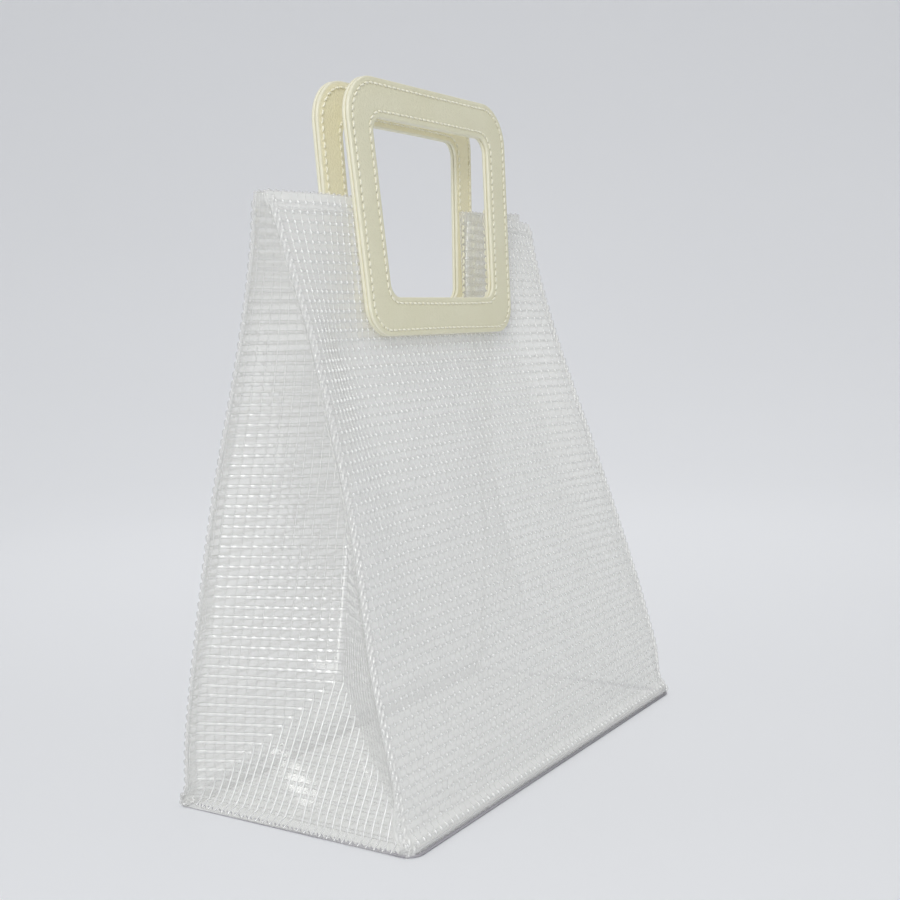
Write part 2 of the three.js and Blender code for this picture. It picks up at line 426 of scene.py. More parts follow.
def grid_quads(rows: int, columns: int, wrap_rows: bool = False, wrap_columns: bool = False) -> NDArray:
    """Number the faces of a grid of points that is stored row by row.

    Args:
        rows: How many rows of points there are.
        columns: How many points a row has.
        wrap_rows: Whether the last row joins the first.
        wrap_columns: Whether the last column joins the first.

    Returns:
        An array of faces by row, column and corner.
    """
    j = np.arange(rows if wrap_rows else rows - 1)[:, None]
    i = np.arange(columns if wrap_columns else columns - 1)[None, :]
    next_j = (j + 1) % rows
    next_i = (i + 1) % columns
    corners = (j * columns + i, j * columns + next_i, next_j * columns + next_i, next_j * columns + i)
    return np.stack(np.broadcast_arrays(*corners), axis=-1)


def face_normals(place: Place, a: Array, b: Array, step: float = 0.4) -> Array:
    """The unit normals of a surface, from the cross product of its two central differences.

    Args:
        place: The surface, as a function of two parameters.
        a: First parameters.
        b: Second parameters.
        step: The half width of the differences.

    Returns:
        A unit normal for each pair of parameters.
    """
    over_a = place(a + step, b) - place(a - step, b)
    over_b = place(a, b + step) - place(a, b - step)
    return unit(np.cross(over_a, over_b))


def shell(points: Array, normals: Array, quads: NDArray, thickness: float) -> Facets:
    """Give a sheet of faces two sides and a rim.

    Each point moves half the thickness along and against its normal, and every edge that only one
    face uses gets a face of the rim.

    Args:
        points: The sheet's middle points, one row each.
        normals: The unit normal at each point.
        quads: The sheet's faces.
        thickness: The distance between the two sides.

    Returns:
        A closed sheet.
    """
    count = len(points)
    both = np.concatenate([points + normals * thickness / 2, points - normals * thickness / 2])
    edges = np.stack([quads, np.roll(quads, -1, axis=1)], axis=-1).reshape(-1, 2)
    key = np.sort(edges, axis=1)
    _, first, uses = np.unique(key, axis=0, return_index=True, return_counts=True)
    rim = edges[first[uses == 1]]
    walls = np.stack([rim[:, 1], rim[:, 0], rim[:, 0] + count, rim[:, 1] + count], axis=-1)
    return Facets(both, np.concatenate([quads, quads[:, ::-1] + count, walls]))


def tubes(
    paths: Array, normals: Array, half_width: float | Array, half_height: float | Array, sides: int
) -> Facets:
    """Carry an oval section along many paths of the same number of points.

    A point of the section is the path's point plus the sideways direction times the half width times
    the cosine, plus the normal times the half height times the sine. Both ends are drawn to a point.

    Args:
        paths: Points by path and step.
        normals: The carrying surface's normal at each point.
        half_width: Half the section's size along the surface, one or one for each point.
        half_height: Half the section's size along the normal, one or one for each point.
        sides: How many points the section has.

    Returns:
        All tubes as one lot of facets.
    """
    ahead = unit(np.gradient(paths, axis=1))
    sideways = unit(np.cross(ahead, normals))
    upright = np.cross(sideways, ahead)
    turn = np.arange(sides) * 2 * np.pi / sides
    wide = np.broadcast_to(half_width, paths.shape[:2])[..., None, None]
    tall = np.broadcast_to(half_height, paths.shape[:2])[..., None, None]
    across = sideways[:, :, None] * np.cos(turn)[:, None] * wide
    high = upright[:, :, None] * np.sin(turn)[:, None] * tall
    rings = paths[:, :, None] + across + high
    first = np.repeat(paths[:, :1, None], sides, axis=2)
    last = np.repeat(paths[:, -1:, None], sides, axis=2)
    rings = np.concatenate([first, rings, last], axis=1)
    count, steps = rings.shape[:2]
    one = grid_quads(steps, sides, wrap_columns=True).reshape(-1, 4)[:, ::-1]
    starts = np.arange(count)[:, None, None] * steps * sides
    return Facets(rings.reshape(-1, 3), (one[None] + starts).reshape(-1, 4))


@dataclass(frozen=True)
class ClearVinyl:
    """Soft clear vinyl, as a film or round a yarn: see-through, a little milky, glossy at a slant."""

    name: str
    tint: str
    milk: str
    milk_share: float
    roughness: float
    mirror_share: float = 0.04
    edge_share: float = 0.35
    slant_power: float = 5.0
    ripple_mm: float = 9.0
    ripple_height: float = 0.1
    ripple_strength: float = 0.35

    def material(self) -> bpy.types.Material:
        """Make the vinyl's material.

        The gloss share goes from the mirror share, face on, to the edge share with the fifth power of
        the slant.

        Returns:
            A material that mixes clear vinyl, milk and gloss.
        """
        shader = Shader(self.name)
        tree = shader.tree
        ripple = shader.noise(self.ripple_mm, 2.0)
        normal = shader.relief(ripple, self.ripple_strength, self.ripple_height)
        clear = add_node(tree, "ShaderNodeBsdfTransparent", {"Color": linear(self.tint)})
        milky = add_node(tree, "ShaderNodeBsdfDiffuse", {"Color": linear(self.milk)})
        gloss = add_node(tree, "ShaderNodeBsdfGlossy", {"Roughness": self.roughness, "Normal": normal})
        facing = add_node(tree, "ShaderNodeLayerWeight", {"Blend": 0.5, "Normal": normal})
        slant = {0: facing.outputs["Facing"], 1: self.slant_power}
        steep = add_node(tree, "ShaderNodeMath", slant, operation="POWER")
        edge = add_node(
            tree,
            "ShaderNodeMapRange",
            {"Value": steep.outputs[0], "To Min": self.mirror_share, "To Max": self.edge_share},
        )
        body = shader.mixed(self.milk_share, clear, milky)
        return shader.finished(shader.mixed(edge.outputs[0], body, gloss))


@dataclass(frozen=True)
class CreamLeather:
    """Coated split leather in cream: a fine pebble grain pressed into a soft satin coat."""

    name: str
    pale: str = "e4e1c8"
    deep: str = "dad6b8"
    grain_mm: float = 1.0
    grain_height: float = 0.3
    grain_strength: float = 0.7
    cloud_mm: float = 25.0
    roughness: float = 0.46
    shine_range: tuple[float, float] = (-0.06, 0.1)

    def material(self) -> bpy.types.Material:
        """Make the leather's face material.

        Returns:
            A cream leather material with grain.
        """
        shader = Shader(self.name)
        pebble = add_node(
            shader.tree,
            "ShaderNodeTexVoronoi",
            {"Vector": shader.place, "Scale": 1 / (self.grain_mm * MM)},
            feature="SMOOTH_F1",
        ).outputs["Distance"]
        low, high = (self.roughness + change for change in self.shine_range)
        shine = add_node(
            shader.tree, "ShaderNodeMapRange", {"Value": pebble, "To Min": low, "To Max": high}
        )
        face = {
            "Base Color": shader.two_tone(shader.noise(self.cloud_mm, 3.0), self.deep, self.pale),
            "Roughness": shine.outputs["Result"],
            "Normal": shader.relief(pebble, self.grain_strength, self.grain_height, invert=True),
            "IOR": 1.48,
        }
        return shader.finished(add_node(shader.tree, "ShaderNodeBsdfPrincipled", face))


@dataclass(frozen=True)
class EdgePaint:
    """Edge paint on cut leather: a smooth, paler, slightly glossy skin with brush waves."""

    pale: str = "ece9d4"
    deep: str = "e2dec5"
    wave_mm: float = 4.0
    wave_height: float = 0.2
    roughness: float = 0.34

    def material(self) -> bpy.types.Material:
        """Make the painted edge's material.

        Returns:
            A pale satin paint material.
        """
        shader = Shader("painted leather edge, brushed on")
        wave = shader.noise(self.wave_mm, 2.0)
        paint = {
            "Base Color": shader.two_tone(wave, self.deep, self.pale),
            "Roughness": self.roughness,
            "Normal": shader.relief(wave, 0.2, self.wave_height),
        }
        return shader.finished(add_node(shader.tree, "ShaderNodeBsdfPrincipled", paint))


@dataclass(frozen=True)
class SewingThread:
    """Twisted polyester sewing thread: soft, pale, with fine slanting plies."""

    name: str
    pale: str = "f3f1e0"
    deep: str = "e4e0c8"
    ply_mm: float = 0.5
    ply_height: float = 0.1
    roughness: float = 0.55

    def material(self) -> bpy.types.Material:
        """Make the thread's material.

        Returns:
            A matt thread material with plies.
        """
        shader = Shader(self.name)
        plies = add_node(
            shader.tree,
            "ShaderNodeTexWave",
            {"Vector": shader.place, "Scale": 0.3 / (self.ply_mm * MM), "Distortion": 1.5},
            bands_direction="DIAGONAL",
        ).outputs["Fac"]
        thread = {
            "Base Color": shader.two_tone(plies, self.deep, self.pale),
            "Roughness": self.roughness,
            "Normal": shader.relief(plies, 0.4, self.ply_height),
            "Sheen Weight": 0.2,
        }
        return shader.finished(add_node(shader.tree, "ShaderNodeBsdfPrincipled", thread))


@dataclass(frozen=True)
class YarnGrid:
    """The sizes of the yarn grid in all the vinyl sheets: a flat weft that a thin warp rides over."""

    weft_pitch: float = 4.2
    warp_pitch: float = 4.05
    film_thickness: float = 0.3
    weft_half_width: float = 0.85
    weft_half_height: float = 0.3
    warp_half_width: float = 0.26
    warp_half_height: float = 0.22
    knot_swell: float = 0.95
    warp_lift: float = 0.22
    knot_lift: float = 0.2
    knot_reach: float = 0.6
    knot_power: int = 14
    spare_end: float = 0.2
    weft_bulge: float = 0.42
    weft_sides: int = 6
    warp_sides: int = 6

    @staticmethod
    def stations(first: float, last: float, pitch: float) -> Array:
        """Places of yarns, one pitch apart and half a pitch from zero.

        Args:
            first: The lowest place.
            last: The highest place.
            pitch: The distance between two yarns.

        Returns:
            The places between the two.
        """
        low = math.ceil(first / pitch - 0.5)
        high = math.floor(last / pitch - 0.5)
        return (np.arange(low, high + 1) + 0.5) * pitch

    def warp_runs(self, first: float, last: float) -> Array:
        """Lengths along a warp yarn: its two ends, and each crossing with the ends of its knot.

        Args:
            first: Where the yarn starts.
            last: Where it ends.

        Returns:
            The lengths in order.
        """
        reach = self.knot_reach
        crossings = self.stations(first + 2 * reach, last - 2 * reach, self.weft_pitch)
        knots = crossings[:, None] + np.array([-reach, 0.0, reach])
        return np.concatenate([[first], knots.ravel(), [last]])

    def warp_tubes(self, place: Place, outward: Place, across: Array, run: Array) -> Facets:
        """Make warp yarns that swell and rise in a knot over each weft yarn.

        The knot goes as a high power of the cosine of the place between two weft yarns. The
        faces next to a crossing are numbered 1 and the rest 0.

        Args:
            place: The sheet.
            outward: The sheet's normals.
            across: Each yarn's places across the sheet.
            run: Its lengths along the sheet.

        Returns:
            Round tubes on the weft's outer side.
        """
        knot = np.cos((run / self.weft_pitch - 0.5) * np.pi) ** self.knot_power
        normals = outward(across, run)
        lift = self.warp_lift + self.knot_lift * knot
        made = tubes(
            place(across, run) + normals * lift[..., None],
            normals,
            self.warp_half_width * (1.0 + self.knot_swell * knot),
            self.warp_half_height * (1.0 + self.knot_swell * knot),
            self.warp_sides,
        )
        # Faces next to a crossing take the white knot material, whose white is partly the doubled yarn's
        # own and partly painted glint.
        made.slots = self.warp_slots(knot > 0.9)
        return made

    def warp_slots(self, marked: NDArray[np.bool_]) -> NDArray[np.int64]:
        """Number 1 the warp's faces next to a marked step, and the rest 0."""
        rings = np.pad(marked[:, 1:] | marked[:, :-1], ((0, 0), (1, 1)))
        return np.repeat(rings.astype(np.int64).ravel(), self.warp_sides)

    def warp_ended(self, runs: Array, ends: Array) -> Array:
        """Stop each warp yarn's lengths at its own end, the spare ones close together before it."""
        return np.minimum(runs[None, :], ends[:, None] - np.linspace(self.spare_end, 0.0, len(runs)))

    def weft_tubes(self, paths: Array, normals: Array) -> Facets:
        """Make flat oval weft yarns along paths."""
        return tubes(paths, normals, self.weft_half_width, self.weft_half_height, self.weft_sides)


class Finishes:
    """The materials of the bag, made once."""

    def __init__(self) -> None:
        """Make every material of the bag."""
        # A soft white haze in the panels that dulls what lies behind them; the vinyl is the same as in
        # the side folds, and the panels' haze above theirs is painted in for the stronger reflection and
        # scatter at the panels' slant.
        self.film = ClearVinyl(
            "calendered clear vinyl film", "fefefd", "eeeeec", milk_share=0.34, roughness=0.05
        ).material()
        # Clearer than the panels, so the creases show through the side folds.
        self.thin_film = ClearVinyl(
            "thin clear vinyl film", "fefefd", "f4f4f2", milk_share=0.1, roughness=0.05
        ).material()
        # Pale level bands.
        self.weft = ClearVinyl(
            "flat weft yarn in vinyl",
            "fdfdfc",
            "f4f4f2",
            milk_share=0.12,
            roughness=0.22,
            mirror_share=0.25,
            edge_share=0.3,
        ).material()
        # White bands that glint between the upright yarns; their milky white is partly the yarn's own and
        # partly painted glint.
        self.loose_weft = ClearVinyl(
            "bulging weft yarn in thin vinyl",
            "fdfdfc",
            "f8f8f6",
            milk_share=0.26,
            roughness=0.24,
            mirror_share=0.24,
            edge_share=0.28,
        ).material()
        # Thin upright lines, hardly paler than the film.
        self.warp = ClearVinyl(
            "round warp yarn in vinyl",
            "fcfcfb",
            "f6f6f4",
            milk_share=0.16,
            roughness=0.22,
            mirror_share=0.22,
            edge_share=0.3,
        ).material()
        # Bright white dots where the yarns cross, partly the doubled yarn's own white and partly painted
        # glint, and white lines in the lower triangles that are painted glint.
        self.knot = ClearVinyl(
            "white yarn knot in vinyl",
            "fafaf9",
            "fdfdfb",
            milk_share=0.75,
            roughness=0.34,
            mirror_share=0.5,
            edge_share=0.5,
        ).material()
        # A grey line round the base's cut edge and grey ticks on the gussets' lower flanges: the edge is
        # real, and the grey of both is painted shadow where the bag meets the floor.
        self.painted_shadow_grey = ClearVinyl(
            "cut edge of the vinyl base", "b4b2b8", "bcbabf", milk_share=0.7, roughness=0.3
        ).material()
        # A pale strip along the bottom, where two layers are pressed together.
        self.fold = ClearVinyl(
            "heat pressed vinyl fold", "f2f2f2", "f2f2f0", milk_share=0.35, roughness=0.2
        ).material()
        # Small pale bumps down each side seam.
        self.bead = ClearVinyl(
            "bound seam bead in vinyl",
            "f6f6f5",
            "f6f6f4",
            milk_share=0.28,
            roughness=0.2,
            mirror_share=0.15,
            edge_share=0.2,
        ).material()
        # A satin cream face with fine pebbles.
        self.leather = CreamLeather("coated cream leather, pressed grain").material()
        # The same leather, warmer, and painted paler as light on the handles' inner faces, which lie in
        # shade between the two handles.
        self.lining_painted_paler = CreamLeather("cream leather backing, pressed grain", "f2eed4", "eae3c2").material()
        # A smooth pale rim round each ply.
        self.paint = EdgePaint().material()
        # Plump stitches a little paler than the leather.
        self.thread = SewingThread("cream sewing thread, twisted").material()
        # Soft dark dots between the stitches, painted shade in the needle holes.
        self.needle_hole_shade = SewingThread("needle hole in leather", "c8c4aa", "b8b398").material()


@dataclass
class BagPart:
    """What every part of the bag shares: the bag's form, the finishes and the making of pieces."""

    form: BagForm
    finishes: Finishes

    def piece(
        self,
        name: str,
        facets: Facets,
        materials: list[bpy.types.Material],
        replaced: tuple[str, ...] = (),
        shades: bool = False,
        slot: str = VINYL_SLOT,
    ) -> bpy.types.Object:
        """Turn facets into a smooth mesh object that rides on the bag.

        Args:
            name: The piece's name.
            facets: Its points in millimetres and its faces.
            materials: The piece's materials in the order of the facets' numbers.
            replaced: The CAD nodes that the piece stands for.
            shades: Whether the piece keeps light off what is behind it.
            slot: The name of a material slot; not used.

        Returns:
            The new object.
        """
        mesh = bpy.data.meshes.new(name)
        points = self.form.leaned(facets.points) * MM
        quads = facets.quads.astype(np.int32)
        mesh.vertices.add(len(points))
        mesh.vertices.foreach_set("co", points.astype(np.float32).ravel())
        mesh.loops.add(quads.size)
        mesh.loops.foreach_set("vertex_index", quads.ravel())
        mesh.polygons.add(len(quads))
        mesh.polygons.foreach_set("loop_start", np.arange(0, quads.size, 4, dtype=np.int32))
        for material in materials:
            mesh.materials.append(material)
        if facets.slots is not None:
            mesh.polygons.foreach_set("material_index", facets.slots.astype(np.int32))
        mesh.update(calc_edges=True)
        mesh.validate()
        mesh.shade_smooth()
        piece = bpy.data.objects.new(name, mesh)
        piece.visible_shadow = shades
        piece.visible_diffuse = shades
        bpy.context.collection.objects.link(piece)
        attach(piece, BODY)
        if replaced:
            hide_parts(*replaced)
        LOG.info("%s: %d faces", name, len(mesh.polygons))
        return piece


@dataclass
class VinylPanel(BagPart):
    """The front or back sheet: lower fold, wall, folded hem and handle window."""

    grid: YarnGrid
    side: Side
    notch_margin: float = 0.8
    close_rows: float = 30.0
    weft_gap: float = 0.4
    warp_gap: float = 0.6
    window_gap: float = 0.3

    @property
    def fold_length(self) -> float:
        """The sheet's length round the lower fold."""
        return self.form.fold_radius * math.pi / 2

    @property
    def wall_length(self) -> float:
        """The sheet's length from the lower fold to the start of the hem."""
        form = self.form
        return (form.body_height - form.hem_radius - form.fold_top) * form.wall_stretch

    @property
    def length(self) -> float:
        """The sheet's whole length, with the hem's flap."""
        form = self.form
        return self.fold_length + self.wall_length + form.hem_radius * math.pi + form.hem_flap

    @property
    def notch_half(self) -> float:
        """Half the width that is cut away behind the handle's window."""
        form = self.form
        tall = form.handle_top - form.handle_bottom
        slope = (form.handle_width_top - form.handle_width_bottom) / tall
        width = form.handle_width_bottom + slope * (form.body_height - form.handle_bottom)
        return width / 2 - form.handle_bar + self.notch_margin

    @property
    def notch_run(self) -> float:
        """The length along the sheet where the window's cut starts."""
        rise = self.form.window_bottom - self.notch_margin - self.form.fold_top
        return self.fold_length + rise * self.form.wall_stretch

    def height(self, run: Array) -> Array:
        """The height on the wall after a length along the sheet, without the hem's turn."""
        rise = np.clip(run - self.fold_length, 0.0, self.wall_length) / self.form.wall_stretch
        return self.form.fold_top + rise

    def place(self, x: Array, run: Array) -> Array:
        """Place points of the sheet by distance across and length along it.

        The lower fold is a quarter circle, the wall follows the bag's panel depth, and the hem is a
        half circle inward with a flap that goes down inside.

        Args:
            x: Distances from the middle of the panel.
            run: Lengths along the sheet from the base.

        Returns:
            Points in millimetres.
        """
        form = self.form
        x, run = np.broadcast_arrays(x, run)
        angle = np.clip(run / form.fold_radius, 0.0, math.pi / 2)
        over = np.clip(run - self.fold_length - self.wall_length, 0.0, None)
        turn = np.clip(over / form.hem_radius, 0.0, math.pi)
        flap = np.clip(over - form.hem_radius * math.pi, 0.0, None)
        wall = self.height(run) - flap
        wall = wall + form.corner_lift(self.side, x, wall)
        depth = form.panel_depth(self.side, x, wall) - form.hem_radius * (1.0 - np.cos(turn))
        in_fold = run < self.fold_length
        fold_depth = form.fold_centre + form.fold_radius * np.sin(angle)
        fold_depth = fold_depth - form.corner_round(self.side, x, np.full(x.shape, form.fold_top))
        depth = np.where(in_fold, fold_depth, depth)
        low = form.fold_top - form.fold_radius * np.cos(angle)
        z = np.where(in_fold, low, wall + form.hem_radius * np.sin(turn))
        return np.stack([x, self.side.sign * depth, z], axis=-1)

    def outward(self, x: Array, run: Array) -> Array:
        """The sheet's unit normals, pointing away from the inside of the bag."""
        return -self.side.sign * face_normals(self.place, x, run)

    def wall_runs(self) -> Array:
        """Lengths along the sheet for the film's rows, from the fold to the end of the hem's flap."""
        top = self.fold_length + self.wall_length
        turned = top + self.form.hem_radius * math.pi
        low = self.fold_length
        marks = [low, low + self.close_rows, self.notch_run, top, turned, self.length]
        return spaced(marks, [12, 40, 10, 6, 3])

    def film(self, runs: Array) -> Facets:
        """Make the clear film, with the window's part left out.

        Columns run from seam to window, across it and on to the other seam, closer together near the
        seams as the square of the sine of their place.

        Args:
            runs: Lengths along the sheet for the film's rows.

        Returns:
            The film as a closed sheet.
        """
        even = np.linspace(0.0, 1.0, 21)
        close = np.sin(even * math.pi / 2) ** 2
        thirds = np.concatenate([1.0 - close[::-1], 1.0 + even[1:], 2.0 + close[1:]])
        run, third = np.meshgrid(runs, thirds, indexing="ij")
        left = self.form.half_width(-1.0, self.height(run))
        right = self.form.half_width(1.0, self.height(run))
        start = self.form.handle_shift - self.notch_half
        stop = self.form.handle_shift + self.notch_half
        x = (left + start) * np.clip(third, 0.0, 1.0) - left
        x = x + (stop - start) * np.clip(third - 1.0, 0.0, 1.0)
        x = x + (right - stop) * np.clip(third - 2.0, 0.0, 1.0)
        points = self.place(x, run).reshape(-1, 3)
        normals = self.outward(x, run).reshape(-1, 3)
        quads = grid_quads(*run.shape)
        cut_rows = runs[:-1] >= self.notch_run - 1e-6
        cut_columns = (thirds[:-1] > 1.0 - 1e-6) & (thirds[1:] < 2.0 + 1e-6)
        kept = quads[~(cut_rows[:, None] & cut_columns[None, :])]
        if self.side is Side.FRONT:
            return shell(points, normals, kept, self.grid.film_thickness)
        return shell(points, normals, kept[:, ::-1], self.grid.film_thickness)

    def weft(self) -> Facets:
        """Make the yarns across the panel, split at the handle's window.

        Returns:
            Flat oval tubes at even lengths along the sheet.
        """
        runs = self.grid.stations(1.0, self.fold_length + self.wall_length, self.grid.weft_pitch)
        whole = runs[runs < self.notch_run]
        cut = runs[runs >= self.notch_run]
        left = self.form.half_width(-1.0, self.height(runs)) - self.weft_gap
        right = self.form.half_width(1.0, self.height(runs)) - self.weft_gap
        split = len(whole)
        steps = np.linspace(0.0, 1.0, 63)
        side_steps = np.linspace(0.0, 1.0, 22)
        start = self.form.handle_shift - self.notch_half - self.window_gap
        stop = self.form.handle_shift + self.notch_half + self.window_gap
        made = []
        for x, rows in (
            (-left[:split, None] + (left + right)[:split, None] * steps, whole),
            (-left[split:, None] + (left[split:, None] + start) * side_steps, cut),
            (stop + (right[split:, None] - stop) * side_steps, cut),
        ):
            run = rows[:, None] + 0 * x
            made.append(self.grid.weft_tubes(self.place(x, run), self.outward(x, run)))
        return Facets.joined(made)

    def warp(self) -> Facets:
        """Make the yarns up the panel, ended by the slanting seams and by the handle's window.

        A yarn outside the mouth's width stops where the seam crosses it.

        Returns:
            Round tubes that lie on the weft's outer side.
        """
        form = self.form
        reach = form.base_width / 2 - self.warp_gap
        places = self.grid.stations(-reach, reach, self.grid.warp_pitch)
        heights = np.linspace(form.fold_top, form.body_height - form.hem_radius, 400)
        halves = form.half_width(places[:, None], heights[None, :])
        inside = halves - self.warp_gap >= np.abs(places)[:, None]
        stop = np.where(inside.all(axis=1), len(heights) - 1, np.argmin(inside, axis=1) - 1)
        cut_by_seam = self.fold_length + (heights[stop] - form.fold_top) * form.wall_stretch
        hem_start = self.fold_length + self.wall_length
        ends = np.where(inside.all(axis=1), hem_start, cut_by_seam)
        behind_window = np.abs(places - form.handle_shift) < self.notch_half + self.weft_gap
        ends = np.where(behind_window, self.notch_run - self.window_gap, ends)
        run = self.grid.warp_ended(self.grid.warp_runs(0.0, hem_start), ends)
        hem = np.linspace(hem_start, self.length, 9)[1:]
        turned = inside.all(axis=1) & ~behind_window
        made = []
        for chosen, ways in (
            (~turned, run[~turned]),
            (turned, np.concatenate([run[turned], np.tile(hem, (turned.sum(), 1))], axis=1)),
        ):
            across = places[chosen][:, None] + 0 * ways
            made.append(self.grid.warp_tubes(self.place, self.outward, across, ways))
        return Facets.joined(made)

    def flat_area(self) -> float:
        """The cut sheet's flat area in square metres, with the window's part taken off."""
        run = np.linspace(0.0, self.length, 500)
        height = self.height(run)
        width = self.form.half_width(-1.0, height) + self.form.half_width(1.0, height)
        width = np.where(run > self.notch_run, width - 2 * self.notch_half, width)
        return float(np.sum((width[1:] + width[:-1]) / 2 * np.diff(run))) * MM * MM

    def build(self) -> None:
        """Build the film and its yarns."""
        name = f"{self.side.label}_panel"
        looks = self.finishes
        fold_film = self.film(np.linspace(0.0, self.fold_length, 9))
        film = self.piece(f"{name}_film", self.film(self.wall_runs()), [looks.film], (name,))
        fold = self.piece(f"{name}_fold", fold_film, [looks.fold], shades=True)
        weft = self.piece(f"{name}_weft", self.weft(), [looks.weft])
        warp = self.piece(f"{name}_warp", self.warp(), [looks.warp, looks.knot])
        self.flat_area()


@dataclass
class VinylGusset(BagPart):
    """A side sheet folded inward: one long crease, an apex, two diagonals and a lower triangle."""

    grid: YarnGrid
    side: Side
    seam_stretch: float = 0.975
    slant: float = 58.8
    lower_flange: float = 5.0
    flange_drop: float = 1.1
    diagonal_rounding: float = 3.0
    close_share: float = 0.06
    weft_steps: int = 121
    film_gap: float = 0.3
    weft_gap: float = 0.6
    warp_gap: float = 0.5
    mark_share: float = 0.62
    mark_margin: float = 3.0

    @property
    def lowest(self) -> float:
        """The height of the sheet's lower edge."""
        return self.form.fold_top - (self.form.fold_radius - self.form.gusset_inset)

    @property
    def fold_length(self) -> float:
        """The length of the seam round the lower fold."""
        return (self.form.fold_radius - self.form.gusset_inset) * math.pi / 2

    @property
    def length(self) -> float:
        """The sheet's length along its seam."""
        return self.fold_length + (self.form.body_height - self.form.fold_top) * self.seam_stretch

    def half(self, run: Array) -> Array:
        """Half the width of the cut sheet between its seams."""
        base = self.form.gusset_half_base
        return base + (self.form.gusset_half_top - base) * run / self.length

    def seam(self, back: NDArray[np.bool_], run: Array, flange: Array) -> Array:
        """Points on the seam with a panel, on the left side.

        The seam follows the panel's inner face: a quarter circle round the lower fold, then the wall.

        Args:
            back: Whether each point is on the back panel's seam.
            run: Lengths along the seam.
            flange: How far out into the flange the points are.

        Returns:
            Points in millimetres.
        """
        form = self.form
        end = self.side.sign
        radius = form.fold_radius - form.gusset_inset
        angle = np.clip(run / radius, 0.0, math.pi / 2)
        z = form.fold_top + np.clip(run - self.fold_length, 0.0, None) / self.seam_stretch
        z = np.where(run < self.fold_length, form.fold_top - radius * np.cos(angle), z)
        out = form.half_width(end, z) - form.seam_flange + flange
        depth, lift = (
            np.where(back, measure(Side.BACK, end * out, z), measure(Side.FRONT, end * out, z))
            for measure in (form.panel_depth, form.corner_lift)
        )
        fold = form.fold_centre + radius * np.sin(angle)
        rounded = form.corner_round(Side.FRONT, end * out, np.full(out.shape, form.fold_top))
        fold = np.where(back, fold, fold - rounded)
        depth = np.where(run < self.fold_length, fold, depth - form.gusset_inset)
        return np.stack([-out, np.where(back, depth, -depth), z + lift], axis=-1)

    def crease(self, z: Array) -> Array:
        """How far from the bag's middle the inner crease is at a height above the apex."""
        form = self.form
        joint = form.half_width(self.side.sign, z) - form.seam_flange
        base = form.crease_half_base
        half = base + (form.gusset_half_top - base) * z / form.body_height
        depth = form.along("seam_depth", z) - form.gusset_inset
        return joint - np.sqrt(half**2 - depth**2)

    def place(self, q: Array, run: Array) -> Array:
        """Place points of the folded sheet by distance from its crease and length along it.

        Above the apex a row goes straight from the crease to the seam, with a small sag. Below it, a
        row goes straight across the triangle to the diagonal crease and from there to the seam. The
        diagonal is rounded: the part of a row past it is half of the distance plus the root of the
        distance squared and the rounding squared.

        Args:
            q: Distances from the centre crease, positive towards the back.
            run: Lengths along the sheet.

        Returns:
            Points in millimetres, for the left side.
        """
        form = self.form
        q, run = np.broadcast_arrays(q, run)
        off = np.abs(q)
        back = q >= 0
        way = np.where(back, 1.0, -1.0)
        under = np.clip(-run, 0.0, None)
        run = np.clip(run, 0.0, None)
        half = self.half(run)
        seam = self.seam(back, run, np.clip(off - half, 0.0, None))
        share = np.clip(run / self.slant, 0.0, 1.0)
        rise = (form.body_height - form.apex_height) / (self.length - self.slant)
        level = form.apex_height + np.clip(run - self.slant, 0.0, None) * rise
        inset = np.where(back, form.back_corner_inset, form.front_corner_inset)
        across_corner = np.clip(off / half, 0.0, 1.0)
        middle_inset = (form.back_corner_inset + form.front_corner_inset) / 2
        inset = inset * across_corner + (1.0 - across_corner) * middle_inset
        corner_out = form.half_width(self.side.sign, np.array(self.lowest)) - inset
        diagonal_out = corner_out + (self.crease(np.array(form.apex_height)) - corner_out) * share
        out = np.where(run < self.slant, diagonal_out, self.crease(level))
        level = np.where(run < self.slant, self.lowest + (form.apex_height - self.lowest) * share, level)
        lip = form.crease_radius * np.tanh(off / form.crease_radius) * share**4
        inner_y = way * (form.corner_depth * (1.0 - share) + lip)
        reach = half * (1.0 - share)
        rounding = np.minimum(self.diagonal_rounding, reach * 0.4)
        past = off - reach
        beyond = (past + np.sqrt(past**2 + rounding**2)) / 2
        room = half - reach
        whole = (room + np.sqrt(room**2 + rounding**2)) / 2
        t = np.clip(beyond / np.maximum(whole, 1e-6), 0.0, 1.0)
        across = np.clip((off - beyond) / np.maximum(reach, 1e-6), 0.0, 1.0)
        base_y = np.where(reach > 1e-6, inner_y * across, inner_y)
        y = base_y + (seam[..., 1] - base_y) * t
        held = smooth_rise(level, form.apex_height, form.handle_bottom)
        y = y - form.gusset_sag * seam[..., 1] * held * 4 * t * (1 - t)
        x = -out + (seam[..., 0] + out) * t - under * (1 - t)
        drop = self.flange_drop * smooth_rise(under, 0.0, self.lower_flange)
        z = level + (seam[..., 2] - level) * t - drop
        return np.stack([x, y, z], axis=-1)

    def outward(self, q: Array, run: Array) -> Array:
        """The folded sheet's unit normals on the left side, pointing out of the bag."""
        return -face_normals(self.place, q, run)

